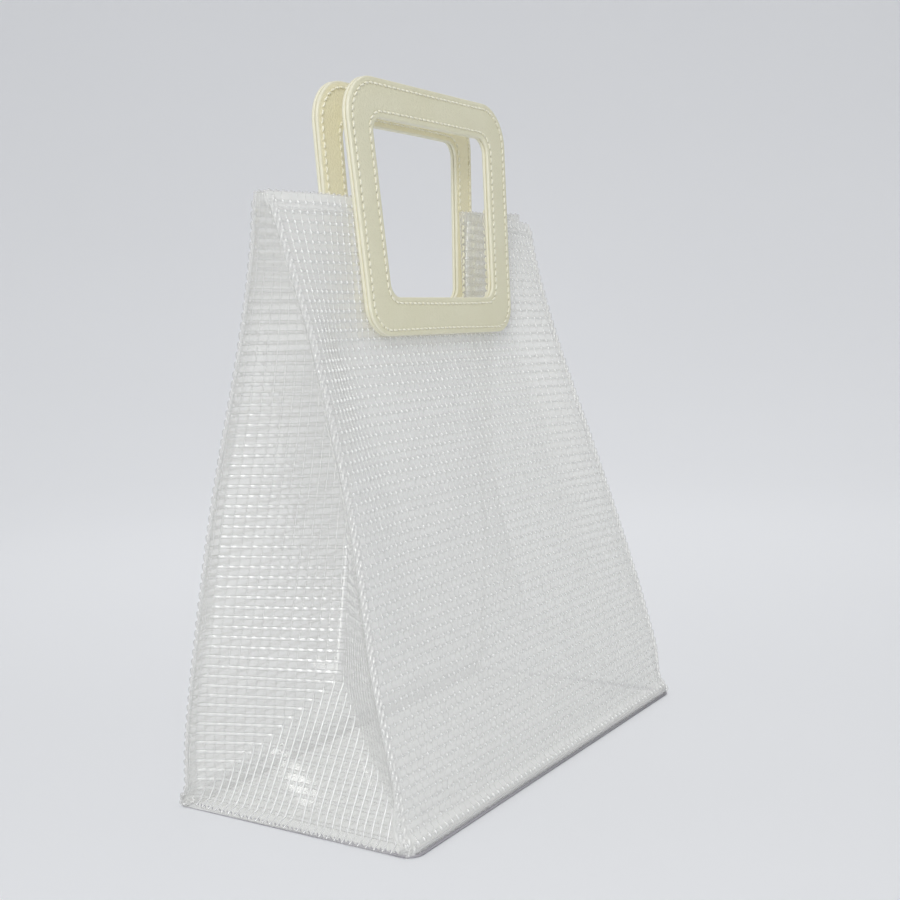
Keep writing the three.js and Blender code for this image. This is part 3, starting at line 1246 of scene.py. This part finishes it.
    def film(self) -> Facets:
        """Make the clear film of the folded sheet with its flanges.

        Returns:
            The film as a closed sheet.
        """
        marks = [-self.lower_flange, 0.0, self.fold_length, self.slant, self.length]
        runs = spaced(marks, [5, 4, 23, 53])
        steps = spaced([0.0, self.close_share, 1.0], [4, 31])
        steps = np.concatenate([-steps[:0:-1], steps])
        run, step = np.meshgrid(runs, steps, indexing="ij")
        q = step * self.half(run)
        flange = self.form.seam_flange - self.film_gap
        q = np.concatenate([q[:, :1] - flange, q, q[:, -1:] + flange], axis=1)
        run = np.concatenate([run[:, :1], run, run[:, -1:]], axis=1)
        points = self.place(q, run).reshape(-1, 3)
        normals = self.outward(q, run).reshape(-1, 3)
        quads = grid_quads(*run.shape).reshape(-1, 4)[:, ::-1]
        made = shell(points, normals, quads, self.grid.film_thickness)
        return self.mirrored(made)

    def mirrored(self, facets: Facets) -> Facets:
        """Mirror facets to the gusset's side and keep their faces pointing outward.

        Args:
            facets: Facets of the left side.

        Returns:
            Facets of this side.
        """
        quads = facets.quads if self.side is Side.LEFT else facets.quads[:, ::-1]
        return Facets(facets.points * np.array([-self.side.sign, 1.0, 1.0]), quads, facets.slots)

    def weft(self) -> Facets:
        """Make the yarns across the fold, from flange to flange.

        Between two warp yarns the weft bulges outward as the square of a cosine.

        Returns:
            Flat oval tubes at even lengths along the sheet.
        """
        gap = self.weft_gap
        runs = self.grid.stations(gap, self.length - gap, self.grid.weft_pitch)[:, None]
        steps = np.linspace(-1.0, 1.0, self.weft_steps)[None, :]
        q = steps * (self.half(runs) + self.form.seam_flange - gap)
        run = runs + 0 * steps
        normals = self.outward(q, run)
        bulge = self.grid.weft_bulge * np.cos(np.pi * q / self.grid.warp_pitch) ** 2
        return self.mirrored(
            self.grid.weft_tubes(self.place(q, run) + normals * bulge[..., None], normals)
        )

    def warp(self) -> Facets:
        """Make the yarns along the fold, parallel to its crease and ended by the slanting seams.

        The faces in the lower triangle are numbered 1 and take the white knot material there, a painted
        glint along the yarns.

        Returns:
            Round tubes that lie on the weft's outer side.
        """
        flange = self.form.seam_flange
        base = self.form.gusset_half_base
        top = self.form.gusset_half_top
        plain = replace(
            self.grid, warp_half_width=0.3, warp_half_height=0.26, knot_swell=0.3, knot_lift=0.06
        )
        reach = base + flange - self.warp_gap
        places = self.grid.stations(-reach, reach, self.grid.warp_pitch)
        room = np.abs(places) - flange - top + self.warp_gap
        ends = self.length * np.clip(1.0 - room / (base - top), 0.02, 1.0)
        runs = self.grid.warp_runs(-self.lower_flange + self.film_gap, self.length)
        run = plain.warp_ended(runs, ends)
        made = plain.warp_tubes(self.place, self.outward, places[:, None] + 0 * run, run)
        # The lower triangle, where the yarns take the white knot material as a painted glint.
        inside = np.abs(places)[:, None] < self.half(run) * (1.0 - run / self.slant)
        made.slots = plain.warp_slots(inside)
        return self.mirrored(made)

    def painted_shadow_ticks(self) -> Facets:
        """Make grey slanting ticks along the lower flange, painted shadow of the yarns where the flange
        meets the floor.

        Returns:
            Short tubes across the flange.
        """
        q = np.linspace(-1.0, 1.0, 80) * (self.form.gusset_half_base - self.mark_margin)
        run = np.full(q.shape, -self.mark_share * self.lower_flange)
        marks = Stitching(
            pitch=2.3, thread_radius=0.3, length_share=0.8, slant_share=2.2, lift_share=0.5
        )
        return self.mirrored(marks.row(self.place(q, run), self.outward(q, run), closed=False))

    def build(self) -> None:
        """Build the film, its yarns and the painted shadow ticks on the lower flange."""
        name = f"{self.side.label}_gusset"
        looks = self.finishes
        # Grey ticks on the lower flange, painted shadow of the yarns where the flange meets the floor.
        marks = self.piece(f"{name}_seal_marks", self.painted_shadow_ticks(), [looks.painted_shadow_grey])
        film = self.piece(f"{name}_film", self.film(), [looks.thin_film], (name,))
        weft = self.piece(f"{name}_weft", self.weft(), [looks.loose_weft])
        warp = self.piece(f"{name}_warp", self.warp(), [looks.warp, looks.knot])


@dataclass
class VinylBase(BagPart):
    """The flat sheet that the bag stands on."""

    grid: YarnGrid
    edge_gap: float = 0.3
    yarn_margin: float = 8.0
    row_margin: float = 1.0
    edge_half: float = 0.6
    edge_out: float = 0.5
    edge_thinning: float = 0.75
    back_corner_radius: float = 1.5

    @property
    def half_width(self) -> float:
        """Half the sheet's width, out under the gussets' lower edges."""
        return self.form.base_width / 2 - self.edge_gap

    @property
    def half_depth(self) -> float:
        """Half the sheet's depth, up to the panels' lower folds."""
        return self.form.fold_centre - self.edge_gap

    def place(self, x: Array, y: Array) -> Array:
        """Place points on the flat sheet, drawn in at the front's rounded corners.

        Args:
            x: Distances from the middle across the bag.
            y: Distances from the middle towards the back.

        Returns:
            Points in millimetres.
        """
        x, y = np.broadcast_arrays(x, y)
        z = np.full(x.shape, self.form.sheet_thickness / 2)
        drawn = self.form.corner_round(Side.FRONT, x, z) * np.clip(-y / self.half_depth, 0.0, None)
        return np.stack([x, y + drawn, z], axis=-1)

    def edge(self) -> Facets:
        """Make the sheet's cut edge, which shows as a grey line of painted contact shadow on the floor
        round the whole bag.

        The line is a rectangle whose four corners are quarter circles, and it carries a small circle that
        gets thinner towards the back, where the painted shadow fades.

        Returns:
            One closed round of the edge.
        """
        half_wide = self.form.base_width / 2 - self.edge_half
        half_deep = self.form.base_depth / 2 - self.edge_half + self.edge_out
        front = self.form.front_corner_radius
        radii = np.array([front, self.back_corner_radius, self.back_corner_radius, front])
        centres = CORNER_SIGNS * (np.array([half_wide, half_deep]) - radii[:, None])
        arcs = corner_arcs(centres, radii, 12)
        corner = np.concatenate([arcs.reshape(-1, 2), arcs[0, :1]])
        path = np.zeros((1, len(corner), 3))
        path[0, :, :2] = corner
        to_back = smooth_rise(path[..., 1], -half_deep, half_deep)
        thin = self.edge_half * (1.0 - self.edge_thinning * to_back)
        path[..., 2] = thin
        return tubes(path, upward(path), thin, thin, 8)

    def build(self) -> None:
        """Build the film, its cut edge and its yarns."""
        x, y = np.meshgrid(
            np.linspace(-self.half_width, self.half_width, 41),
            np.linspace(-self.half_depth, self.half_depth, 21),
        )
        points = self.place(x, y).reshape(-1, 3)
        quads = grid_quads(*x.shape).reshape(-1, 4)
        sheet = shell(points, upward(points), quads, self.grid.film_thickness)
        yarn_half = self.half_width - self.yarn_margin
        row_half = self.half_depth - self.row_margin
        rows = self.grid.stations(-row_half, row_half, self.grid.weft_pitch)
        weft_paths = self.place(np.linspace(-yarn_half, yarn_half, 13)[None, :], rows[:, None])
        columns = self.grid.stations(-yarn_half, yarn_half, self.grid.warp_pitch)
        column_half = self.half_depth - self.edge_gap
        deep = np.linspace(-column_half, column_half, 9)
        warp_paths = self.place(columns[:, None], deep[None, :])
        warp = tubes(
            warp_paths,
            upward(warp_paths),
            self.grid.warp_half_width,
            self.grid.warp_half_height,
            self.grid.warp_sides,
        )
        weft = self.grid.weft_tubes(weft_paths, upward(weft_paths))
        looks = self.finishes
        film = self.piece("base_panel_film", sheet, [looks.film], ("base_panel",))
        # The base's cut edge, whose grey is painted contact shadow round the bag's foot.
        edge_shadow_piece = self.piece("base_panel_edge", self.edge(), [looks.painted_shadow_grey], shades=True)
        weft_piece = self.piece("base_panel_weft", weft, [looks.weft])
        warp_piece = self.piece("base_panel_warp", warp, [looks.warp])


@dataclass
class Stitching:
    """Rows of lockstitch: each stitch a plump short thread that dips into its holes."""

    pitch: float = 3.5
    thread_radius: float = 0.52
    length_share: float = 0.84
    slant_share: float = 0.36
    lift_share: float = 0.75
    first_share: float = 0.5
    stations: int = 7
    sides: int = 6

    def row(self, path: Array, normals: Array, closed: bool) -> Facets:
        """Lay stitches along a path.

        A stitch is a tube along the path whose radius goes as the root of one minus the fourth power
        of its place, and which rises in the middle and sinks at both ends.

        Args:
            path: Points along the row.
            normals: The carrying surface's normal at each point.
            closed: Whether the row joins its own start.

        Returns:
            All stitches of the row.
        """
        if closed:
            path = np.concatenate([path, path[:1]])
            normals = np.concatenate([normals, normals[:1]])
        along = np.concatenate([[0.0], np.cumsum(np.linalg.norm(np.diff(path, axis=0), axis=1))])
        count = max(int(round(along[-1] / self.pitch)), 1)
        pitch = along[-1] / count
        ends = np.cos(np.linspace(np.pi, 0.0, self.stations))
        middle = (np.arange(count) + self.first_share) * pitch
        at = middle[:, None] + ends[None, :] * pitch * self.length_share / 2
        if closed:
            at = np.mod(at, along[-1])
        centre = np.stack([np.interp(at, along, path[:, k]) for k in range(3)], axis=-1)
        up = unit(np.stack([np.interp(at, along, normals[:, k]) for k in range(3)], axis=-1))
        ahead = unit(np.gradient(centre, axis=1))
        aside = unit(np.cross(ahead, up))
        swell = self.thread_radius * np.maximum(1.0 - ends**4, 0.02) ** 0.5
        lift = self.thread_radius * (self.lift_share - 1.1 * ends**4)
        slant = self.slant_share * ends * self.thread_radius
        centre = centre + up * lift[None, :, None] + aside * slant[None, :, None]
        turn = np.arange(self.sides) * 2 * np.pi / self.sides
        ring = aside[:, :, None] * np.cos(turn)[:, None] + up[:, :, None] * np.sin(turn)[:, None]
        points = centre[:, :, None] + ring * swell[None, :, None, None]
        one = grid_quads(self.stations, self.sides, wrap_columns=True).reshape(-1, 4)[:, ::-1]
        starts = np.arange(count)[:, None, None] * self.stations * self.sides
        return Facets(points.reshape(-1, 3), (one[None] + starts).reshape(-1, 4))


@dataclass
class FrameHandle(BagPart):
    """A square handle cut from two plies of leather, with painted edges and stitched rims."""

    side: Side
    ply_thickness: float = 1.7
    first_ply_out: float = 1.0
    ply_step: float = 1.9
    corner_radius: float = 14.0
    top_corner_radius: float = 19.0
    window_radius: float = 7.0
    stitch_inset: float = 3.0
    groove_depth: float = 0.26
    vinyl_out: float = -0.6
    painted_steps: tuple[int, int] = (1, 6)
    corner_steps: int = 14
    edge_steps: int = 22

    def contour(self, inset: float, lower_radius: float, upper_radius: float) -> Array:
        """Points round the handle's outline, moved inward, as four arcs and four straight edges.

        Args:
            inset: How far the outline is moved inward.
            lower_radius: The lower corners' radius.
            upper_radius: The upper corners' radius.

        Returns:
            Points across and up, starting at the lower right corner.
        """
        form = self.form
        bottom = form.handle_bottom + inset
        top = form.handle_top - inset
        tall = form.handle_top - form.handle_bottom
        spread = (form.handle_width_top - form.handle_width_bottom) / 2 / tall
        lower = CORNER_SIGNS[:, 1] < 0
        radius = np.where(lower, lower_radius, upper_radius)
        z = np.where(lower, bottom + radius, top - radius)
        half = form.handle_width_bottom / 2 + spread * (z - form.handle_bottom) - inset
        centres = np.stack([CORNER_SIGNS[:, 0] * (half - radius), z], axis=-1)
        arcs = corner_arcs(centres, radius, self.corner_steps)
        following = np.roll(arcs, -1, axis=0)
        t = np.linspace(0.0, 1.0, self.edge_steps + 2)[1:-1, None]
        edges = arcs[:, -1:] + (following[:, :1] - arcs[:, -1:]) * t[None]
        return np.concatenate([arcs, edges], axis=1).reshape(-1, 2)

    def outlines(self) -> tuple[Array, Array]:
        """The outline of the window and the outline of the whole handle."""
        inner = self.contour(self.form.handle_bar, self.window_radius, self.window_radius)
        return inner, self.contour(0.0, self.corner_radius, self.top_corner_radius)

    def stand(self, outline: Array, out: Array) -> Array:
        """Stand outline points on the panel, tilted inward at the top.

        Args:
            outline: Points across and up.
            out: Distances outward from the middle of the panel's sheet.

        Returns:
            Points in millimetres.
        """
        form = self.form
        hang = form.hang(self.side)
        up = outline[..., 1] - form.handle_bottom
        sine = math.sin(hang.tilt)
        cosine = math.cos(hang.tilt)
        depth = hang.sheet_depth + out * cosine - up * sine + hang.bowed(outline[..., 0])
        z = form.handle_bottom + up * cosine + out * sine
        return np.stack([outline[..., 0] + form.handle_shift, self.side.sign * depth, z], axis=-1)

    def edge_profile(self) -> tuple[Array, Array]:
        """Half of a ply's section, from the middle of its back round one edge to the stitch groove.

        Returns:
            Distances in from the edge, and heights from the ply's back.
        """
        top = self.ply_thickness
        rows = np.array(
            [
                (5.0, 0.0),
                (0.7, 0.0),
                (0.22, 0.12),
                (0.0, 0.45),
                (0.0, top - 0.62),
                (0.10, top - 0.30),
                (0.38, top - 0.10),
                (0.95, top),
                (1.9, top + 0.02),
                (2.45, top - 0.06),
                (2.75, top - 0.2),
                (self.stitch_inset, top - self.groove_depth),
                (3.25, top - 0.2),
                (3.6, top - 0.06),
                (4.4, top + 0.03),
                (6.0, top + 0.08),
            ]
        )
        return rows[:, 0], rows[:, 1]

    def ply(self, number: int) -> Facets:
        """Make one ply as a closed ring.

        The section is the edge profile at the window, turned round, and the same profile at the outer
        edge. Each point lies between the window's outline and the outer outline.

        Args:
            number: 0 for the ply on the panel and 1 for the outer one.

        Returns:
            The ply with painted faces on its edges.
        """
        inner, outer = self.outlines()
        width = np.linalg.norm(outer - inner, axis=1)[:, None]
        inset, height = self.edge_profile()
        from_inner = inset[None, :] / width
        share = np.concatenate([from_inner, 1.0 - from_inner[:, ::-1]], axis=1)
        heights = np.concatenate([height, height[::-1]])
        outline = inner[:, None] + (outer - inner)[:, None] * share[..., None]
        if number == 0:
            heights = np.minimum(heights, self.ply_thickness)
        out = self.first_ply_out + number * self.ply_step + heights
        points = self.stand(outline, out[None, :] + 0 * share)
        quads = grid_quads(*share.shape, wrap_rows=True, wrap_columns=True)
        painted = np.zeros(quads.shape[:2], np.int64)
        first, stop = self.painted_steps
        last = share.shape[1] - 1
        painted[:, first:stop] = 1
        painted[:, last - stop : last - first] = 1
        faces = quads.reshape(-1, 4)
        if self.side is Side.BACK:
            faces = faces[:, ::-1]
        return Facets(points.reshape(-1, 3), faces, painted.ravel())

    def stitches(self) -> Facets:
        """Make the stitch rows of both faces: one round the window and one round the outside.

        On the inside the rows lie on the leather above the hem and on the vinyl below it. A needle hole
        lies between each two stitches of the outer face, and its faces are numbered 1 for the darker
        colour that paints the hole's shade.

        Returns:
            All stitches and needle holes of the handle.
        """
        holes = Stitching(thread_radius=0.36, length_share=0.26, lift_share=-0.1, first_share=0.0)
        inner, outer = self.outlines()
        direction = unit(outer - inner)
        rows = [inner + direction * self.stitch_inset, outer - direction * self.stitch_inset]
        face_out = self.first_ply_out + self.ply_step + self.ply_thickness - self.groove_depth
        made = []
        for row in rows:
            outside = self.stand(row, np.full(len(row), face_out))
            below = row[:, 1] < self.form.body_height
            inside = self.stand(row, np.where(below, self.vinyl_out, self.first_ply_out))
            normal = np.zeros_like(outside)
            normal[:, 1] = self.side.sign
            made.append(Stitching().row(outside, normal, closed=True))
            made.append(Stitching().row(inside, -normal, closed=True))
            hole_shade = holes.row(outside, normal, closed=True)
            hole_shade.slots = np.ones(len(hole_shade.quads), np.int64)
            made.append(hole_shade)
        return Facets.joined(made)

    def build(self) -> None:
        """Build the two plies and the stitching."""
        name = f"{self.side.label}_handle"
        # The backing ply is painted paler, as light on its inner faces that lie in shade between the two
        # handles.
        skins = (("backing", self.finishes.lining_painted_paler), ("face", self.finishes.leather))
        for number, (layer, skin) in enumerate(skins):
            self.piece(
                f"{name}_{layer}_leather",
                self.ply(number),
                [skin, self.finishes.paint],
                (f"{name}_{layer}",),
                shades=True,
                slot=LEATHER_SLOT,
            )
        # The needle holes' darker colour is painted shade in the holes.
        threads = [self.finishes.thread, self.finishes.needle_hole_shade]
        self.piece(f"{name}_stitching", self.stitches(), threads, shades=True, slot=LEATHER_SLOT)


@dataclass
class SeamStitching(BagPart):
    """The bound side seams, the hem's stitch rows and the yarn ends on the hem's fold."""

    grid: YarnGrid
    panels: tuple[VinylPanel, VinylPanel]
    from_edge: float = 2.4
    strand_inset: float = 0.9
    bead_lift: float = 0.2
    stitch_lift: float = 0.25
    hem_drop: float = 6.4
    window_gap: float = 0.6
    seam_gap: float = 0.8

    def seams(self, panel: VinylPanel) -> list[Facets]:
        """Make two strands of slanting beads on each side seam of a panel, one bead to a weft yarn.

        Args:
            panel: The panel.

        Returns:
            The beads of both seams.
        """
        run = np.linspace(2.0, panel.fold_length + panel.wall_length - 1.0, 260)
        made = []
        for inset, first in ((self.from_edge, 0.5), (self.strand_inset, 0.0)):
            beads = Stitching(
                self.grid.weft_pitch,
                thread_radius=0.85,
                length_share=1.1,
                slant_share=0.9,
                lift_share=0.6,
                first_share=first,
            )
            for sign in (-1.0, 1.0):
                x = sign * (self.form.half_width(sign, panel.height(run)) - inset)
                normals = panel.outward(x, run)
                lifted = panel.place(x, run) + self.bead_lift * normals
                made.append(beads.row(lifted, normals, closed=False))
        return made

    def hem(self, panel: VinylPanel) -> list[Facets]:
        """Make the hem's slanting stitches and the yarn ends on its fold, beside the handle's window.

        Args:
            panel: The panel.

        Returns:
            The stitches and yarn ends of both sides of the window.
        """
        top = panel.fold_length + panel.wall_length
        pitch = self.grid.warp_pitch
        stitches = Stitching(pitch, thread_radius=0.5, length_share=0.9, slant_share=0.8)
        ends = Stitching(
            pitch, thread_radius=0.45, length_share=0.42, slant_share=0.0, lift_share=0.4
        )
        made = []
        for sign in (-1.0, 1.0):
            inner = self.form.handle_shift + sign * (panel.notch_half + self.window_gap)
            mouth_half = self.form.half_width(sign, np.array(self.form.body_height))
            outer = sign * (mouth_half - self.seam_gap)
            x = np.linspace(inner, outer, 40)
            on_fold = top + self.form.hem_radius * math.pi / 2
            for rows, run in ((stitches, top - self.hem_drop), (ends, on_fold)):
                runs = np.full(x.shape, run)
                normals = panel.outward(x, runs)
                lifted = panel.place(x, runs) + self.stitch_lift * normals
                made.append(rows.row(lifted, normals, closed=False))
        return made

    def build(self) -> None:
        """Build the beads, stitches and yarn ends of both panels."""
        made = []
        for panel in self.panels:
            made += self.seams(panel) + self.hem(panel)
        self.piece("seam_and_hem_stitching", Facets.joined(made), [self.finishes.bead])


@dataclass(frozen=True)
class Softbox:
    """A square studio light: place, aim and side in metres, power in watts, spread in degrees."""

    name: str
    place: tuple[float, float, float]
    aim: tuple[float, float, float]
    side: float
    watts: float
    spread: float = 180.0

    def build(self) -> None:
        """Make the light and turn it to its aim."""
        lamp = bpy.data.lights.new(self.name, "AREA")
        lamp.shape = "SQUARE"
        lamp.size = self.side
        lamp.energy = self.watts
        lamp.spread = math.radians(self.spread)
        light = bpy.data.objects.new(self.name, lamp)
        light.location = self.place
        ahead = Vector(self.aim) - Vector(self.place)
        light.rotation_euler = ahead.to_track_quat("-Z", "Y").to_euler()
        bpy.context.collection.objects.link(light)


@dataclass
class Studio:
    """The pale floor that curves up all round, the lights and the camera."""

    floor_radius: float = 1.0
    cove_radius: float = 1.8
    wall_height: float = 0.05
    floor_colour: str = "e9eaec"
    floor_pale: str = "edeef0"
    floor_cloud_mm: float = 1000 / 1.2
    air_colour: str = "f3f4f6"
    air_strength: float = 0.69
    lights: tuple[Softbox, ...] = (
        Softbox("lamp above the camera", (-0.99, -0.56, 0.81), (-0.08, 0.0, 0.1), 0.5, 5.3),
        Softbox("lamp beside the camera", (-1.25, -0.68, 0.34), (-0.1, 0.0, 0.12), 0.5, 0.24, 60.0),
        Softbox("overhead softbox", (0.1, -0.1, 1.75), (0.0, 0.0, 0.0), 1.3, 2.0),
        Softbox("back left window", (-0.776, 0.756, 0.641), (-0.1, 0.0, 0.05), 0.03, 0.014),
        Softbox("backdrop softbox", (0.5, 0.3, 1.2), (1.8, 1.17, 0.1), 1.2, 5.0),
    )
    camera_place: tuple[float, float, float] = (-507.3, -334.3, 202.4)
    camera_yaw: float = 32.97
    camera_pitch: float = 5.35
    camera_roll: float = -2.34
    lens_mm: float = 50.4

    def floor(self) -> None:
        """Build the floor as a profile turned about the vertical: flat, a quarter circle, a wall."""
        turn = np.linspace(0.0, math.pi / 2, 17)[1:]
        radius = np.concatenate(
            [
                [0.02, 0.3, 0.6, self.floor_radius],
                self.floor_radius + self.cove_radius * np.sin(turn),
                [self.floor_radius + self.cove_radius],
            ]
        )
        height = np.concatenate(
            [
                np.zeros(4),
                self.cove_radius * (1.0 - np.cos(turn)),
                [self.cove_radius + self.wall_height],
            ]
        )
        angle = np.linspace(0.0, 2 * math.pi, 97)[:-1]
        points = np.stack(
            [
                radius[:, None] * np.cos(angle),
                radius[:, None] * np.sin(angle),
                height[:, None] + 0 * angle,
            ],
            axis=-1,
        ).reshape(-1, 3)
        quads = grid_quads(len(radius), len(angle), wrap_columns=True).reshape(-1, 4)[:, ::-1]
        hub = list(range(len(angle)))
        mesh = bpy.data.meshes.new("floor")
        mesh.from_pydata(points.tolist(), [], quads.tolist() + [hub])
        mesh.shade_smooth()
        shader = Shader("pale studio paper")
        clouds = shader.noise(self.floor_cloud_mm, 2.0)
        colour = shader.two_tone(clouds, self.floor_colour, self.floor_pale)
        paper = {"Base Color": colour, "Roughness": 0.6}
        mesh.materials.append(
            shader.finished(add_node(shader.tree, "ShaderNodeBsdfPrincipled", paper))
        )
        floor = bpy.data.objects.new("floor", mesh)
        bpy.context.collection.objects.link(floor)

    def air(self) -> None:
        """Fill the room with even soft light."""
        world = bpy.data.worlds.new("studio air")
        world.use_nodes = True
        world.node_tree.nodes.clear()
        output = add_node(world.node_tree, "ShaderNodeOutputWorld")
        glow = add_node(
            world.node_tree,
            "ShaderNodeBackground",
            {"Color": linear(self.air_colour), "Strength": self.air_strength},
        )
        world.node_tree.links.new(glow.outputs[0], output.inputs["Surface"])
        bpy.context.scene.world = world

    def camera(self) -> None:
        """Place the camera by its yaw, pitch and roll."""
        yaw, pitch, roll = (
            math.radians(a) for a in (self.camera_yaw, self.camera_pitch, self.camera_roll)
        )
        ahead = Vector(
            (math.cos(pitch) * math.cos(yaw), math.cos(pitch) * math.sin(yaw), -math.sin(pitch))
        )
        right = Vector((math.sin(yaw), -math.cos(yaw), 0.0))
        up = right.cross(ahead)
        rolled_right = math.cos(roll) * right + math.sin(roll) * up
        rolled_up = math.cos(roll) * up - math.sin(roll) * right
        data = bpy.data.cameras.new("photo camera")
        data.lens = self.lens_mm
        data.sensor_width = 36.0
        data.clip_start = 0.01
        camera = bpy.data.objects.new("photo camera", data)
        turn = Matrix((rolled_right, rolled_up, -ahead)).transposed().to_4x4()
        camera.matrix_world = Matrix.Translation(Vector(self.camera_place) * MM) @ turn
        bpy.context.collection.objects.link(camera)
        bpy.context.scene.camera = camera

    def build(self) -> None:
        """Build the floor, the light and the camera."""
        self.floor()
        self.air()
        for light in self.lights:
            light.build()
        self.camera()
        scene = bpy.context.scene
        scene.view_settings.view_transform = "Standard"
        scene.cycles.transparent_max_bounces = 64


def main() -> None:
    """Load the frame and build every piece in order."""
    logging.basicConfig(level=logging.INFO, format="%(name)s: %(message)s")
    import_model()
    form = BagForm()
    grid = YarnGrid()
    finishes = Finishes()
    panels = tuple(VinylPanel(form, finishes, grid, side) for side in (Side.FRONT, Side.BACK))
    for panel in panels:
        panel.build()
    for side in (Side.LEFT, Side.RIGHT):
        VinylGusset(form, finishes, grid, side).build()
    VinylBase(form, finishes, grid).build()
    SeamStitching(form, finishes, grid, panels).build()
    for side in (Side.FRONT, Side.BACK):
        FrameHandle(form, finishes, side).build()
    Studio().build()


if __name__ == "__main__":
    main()
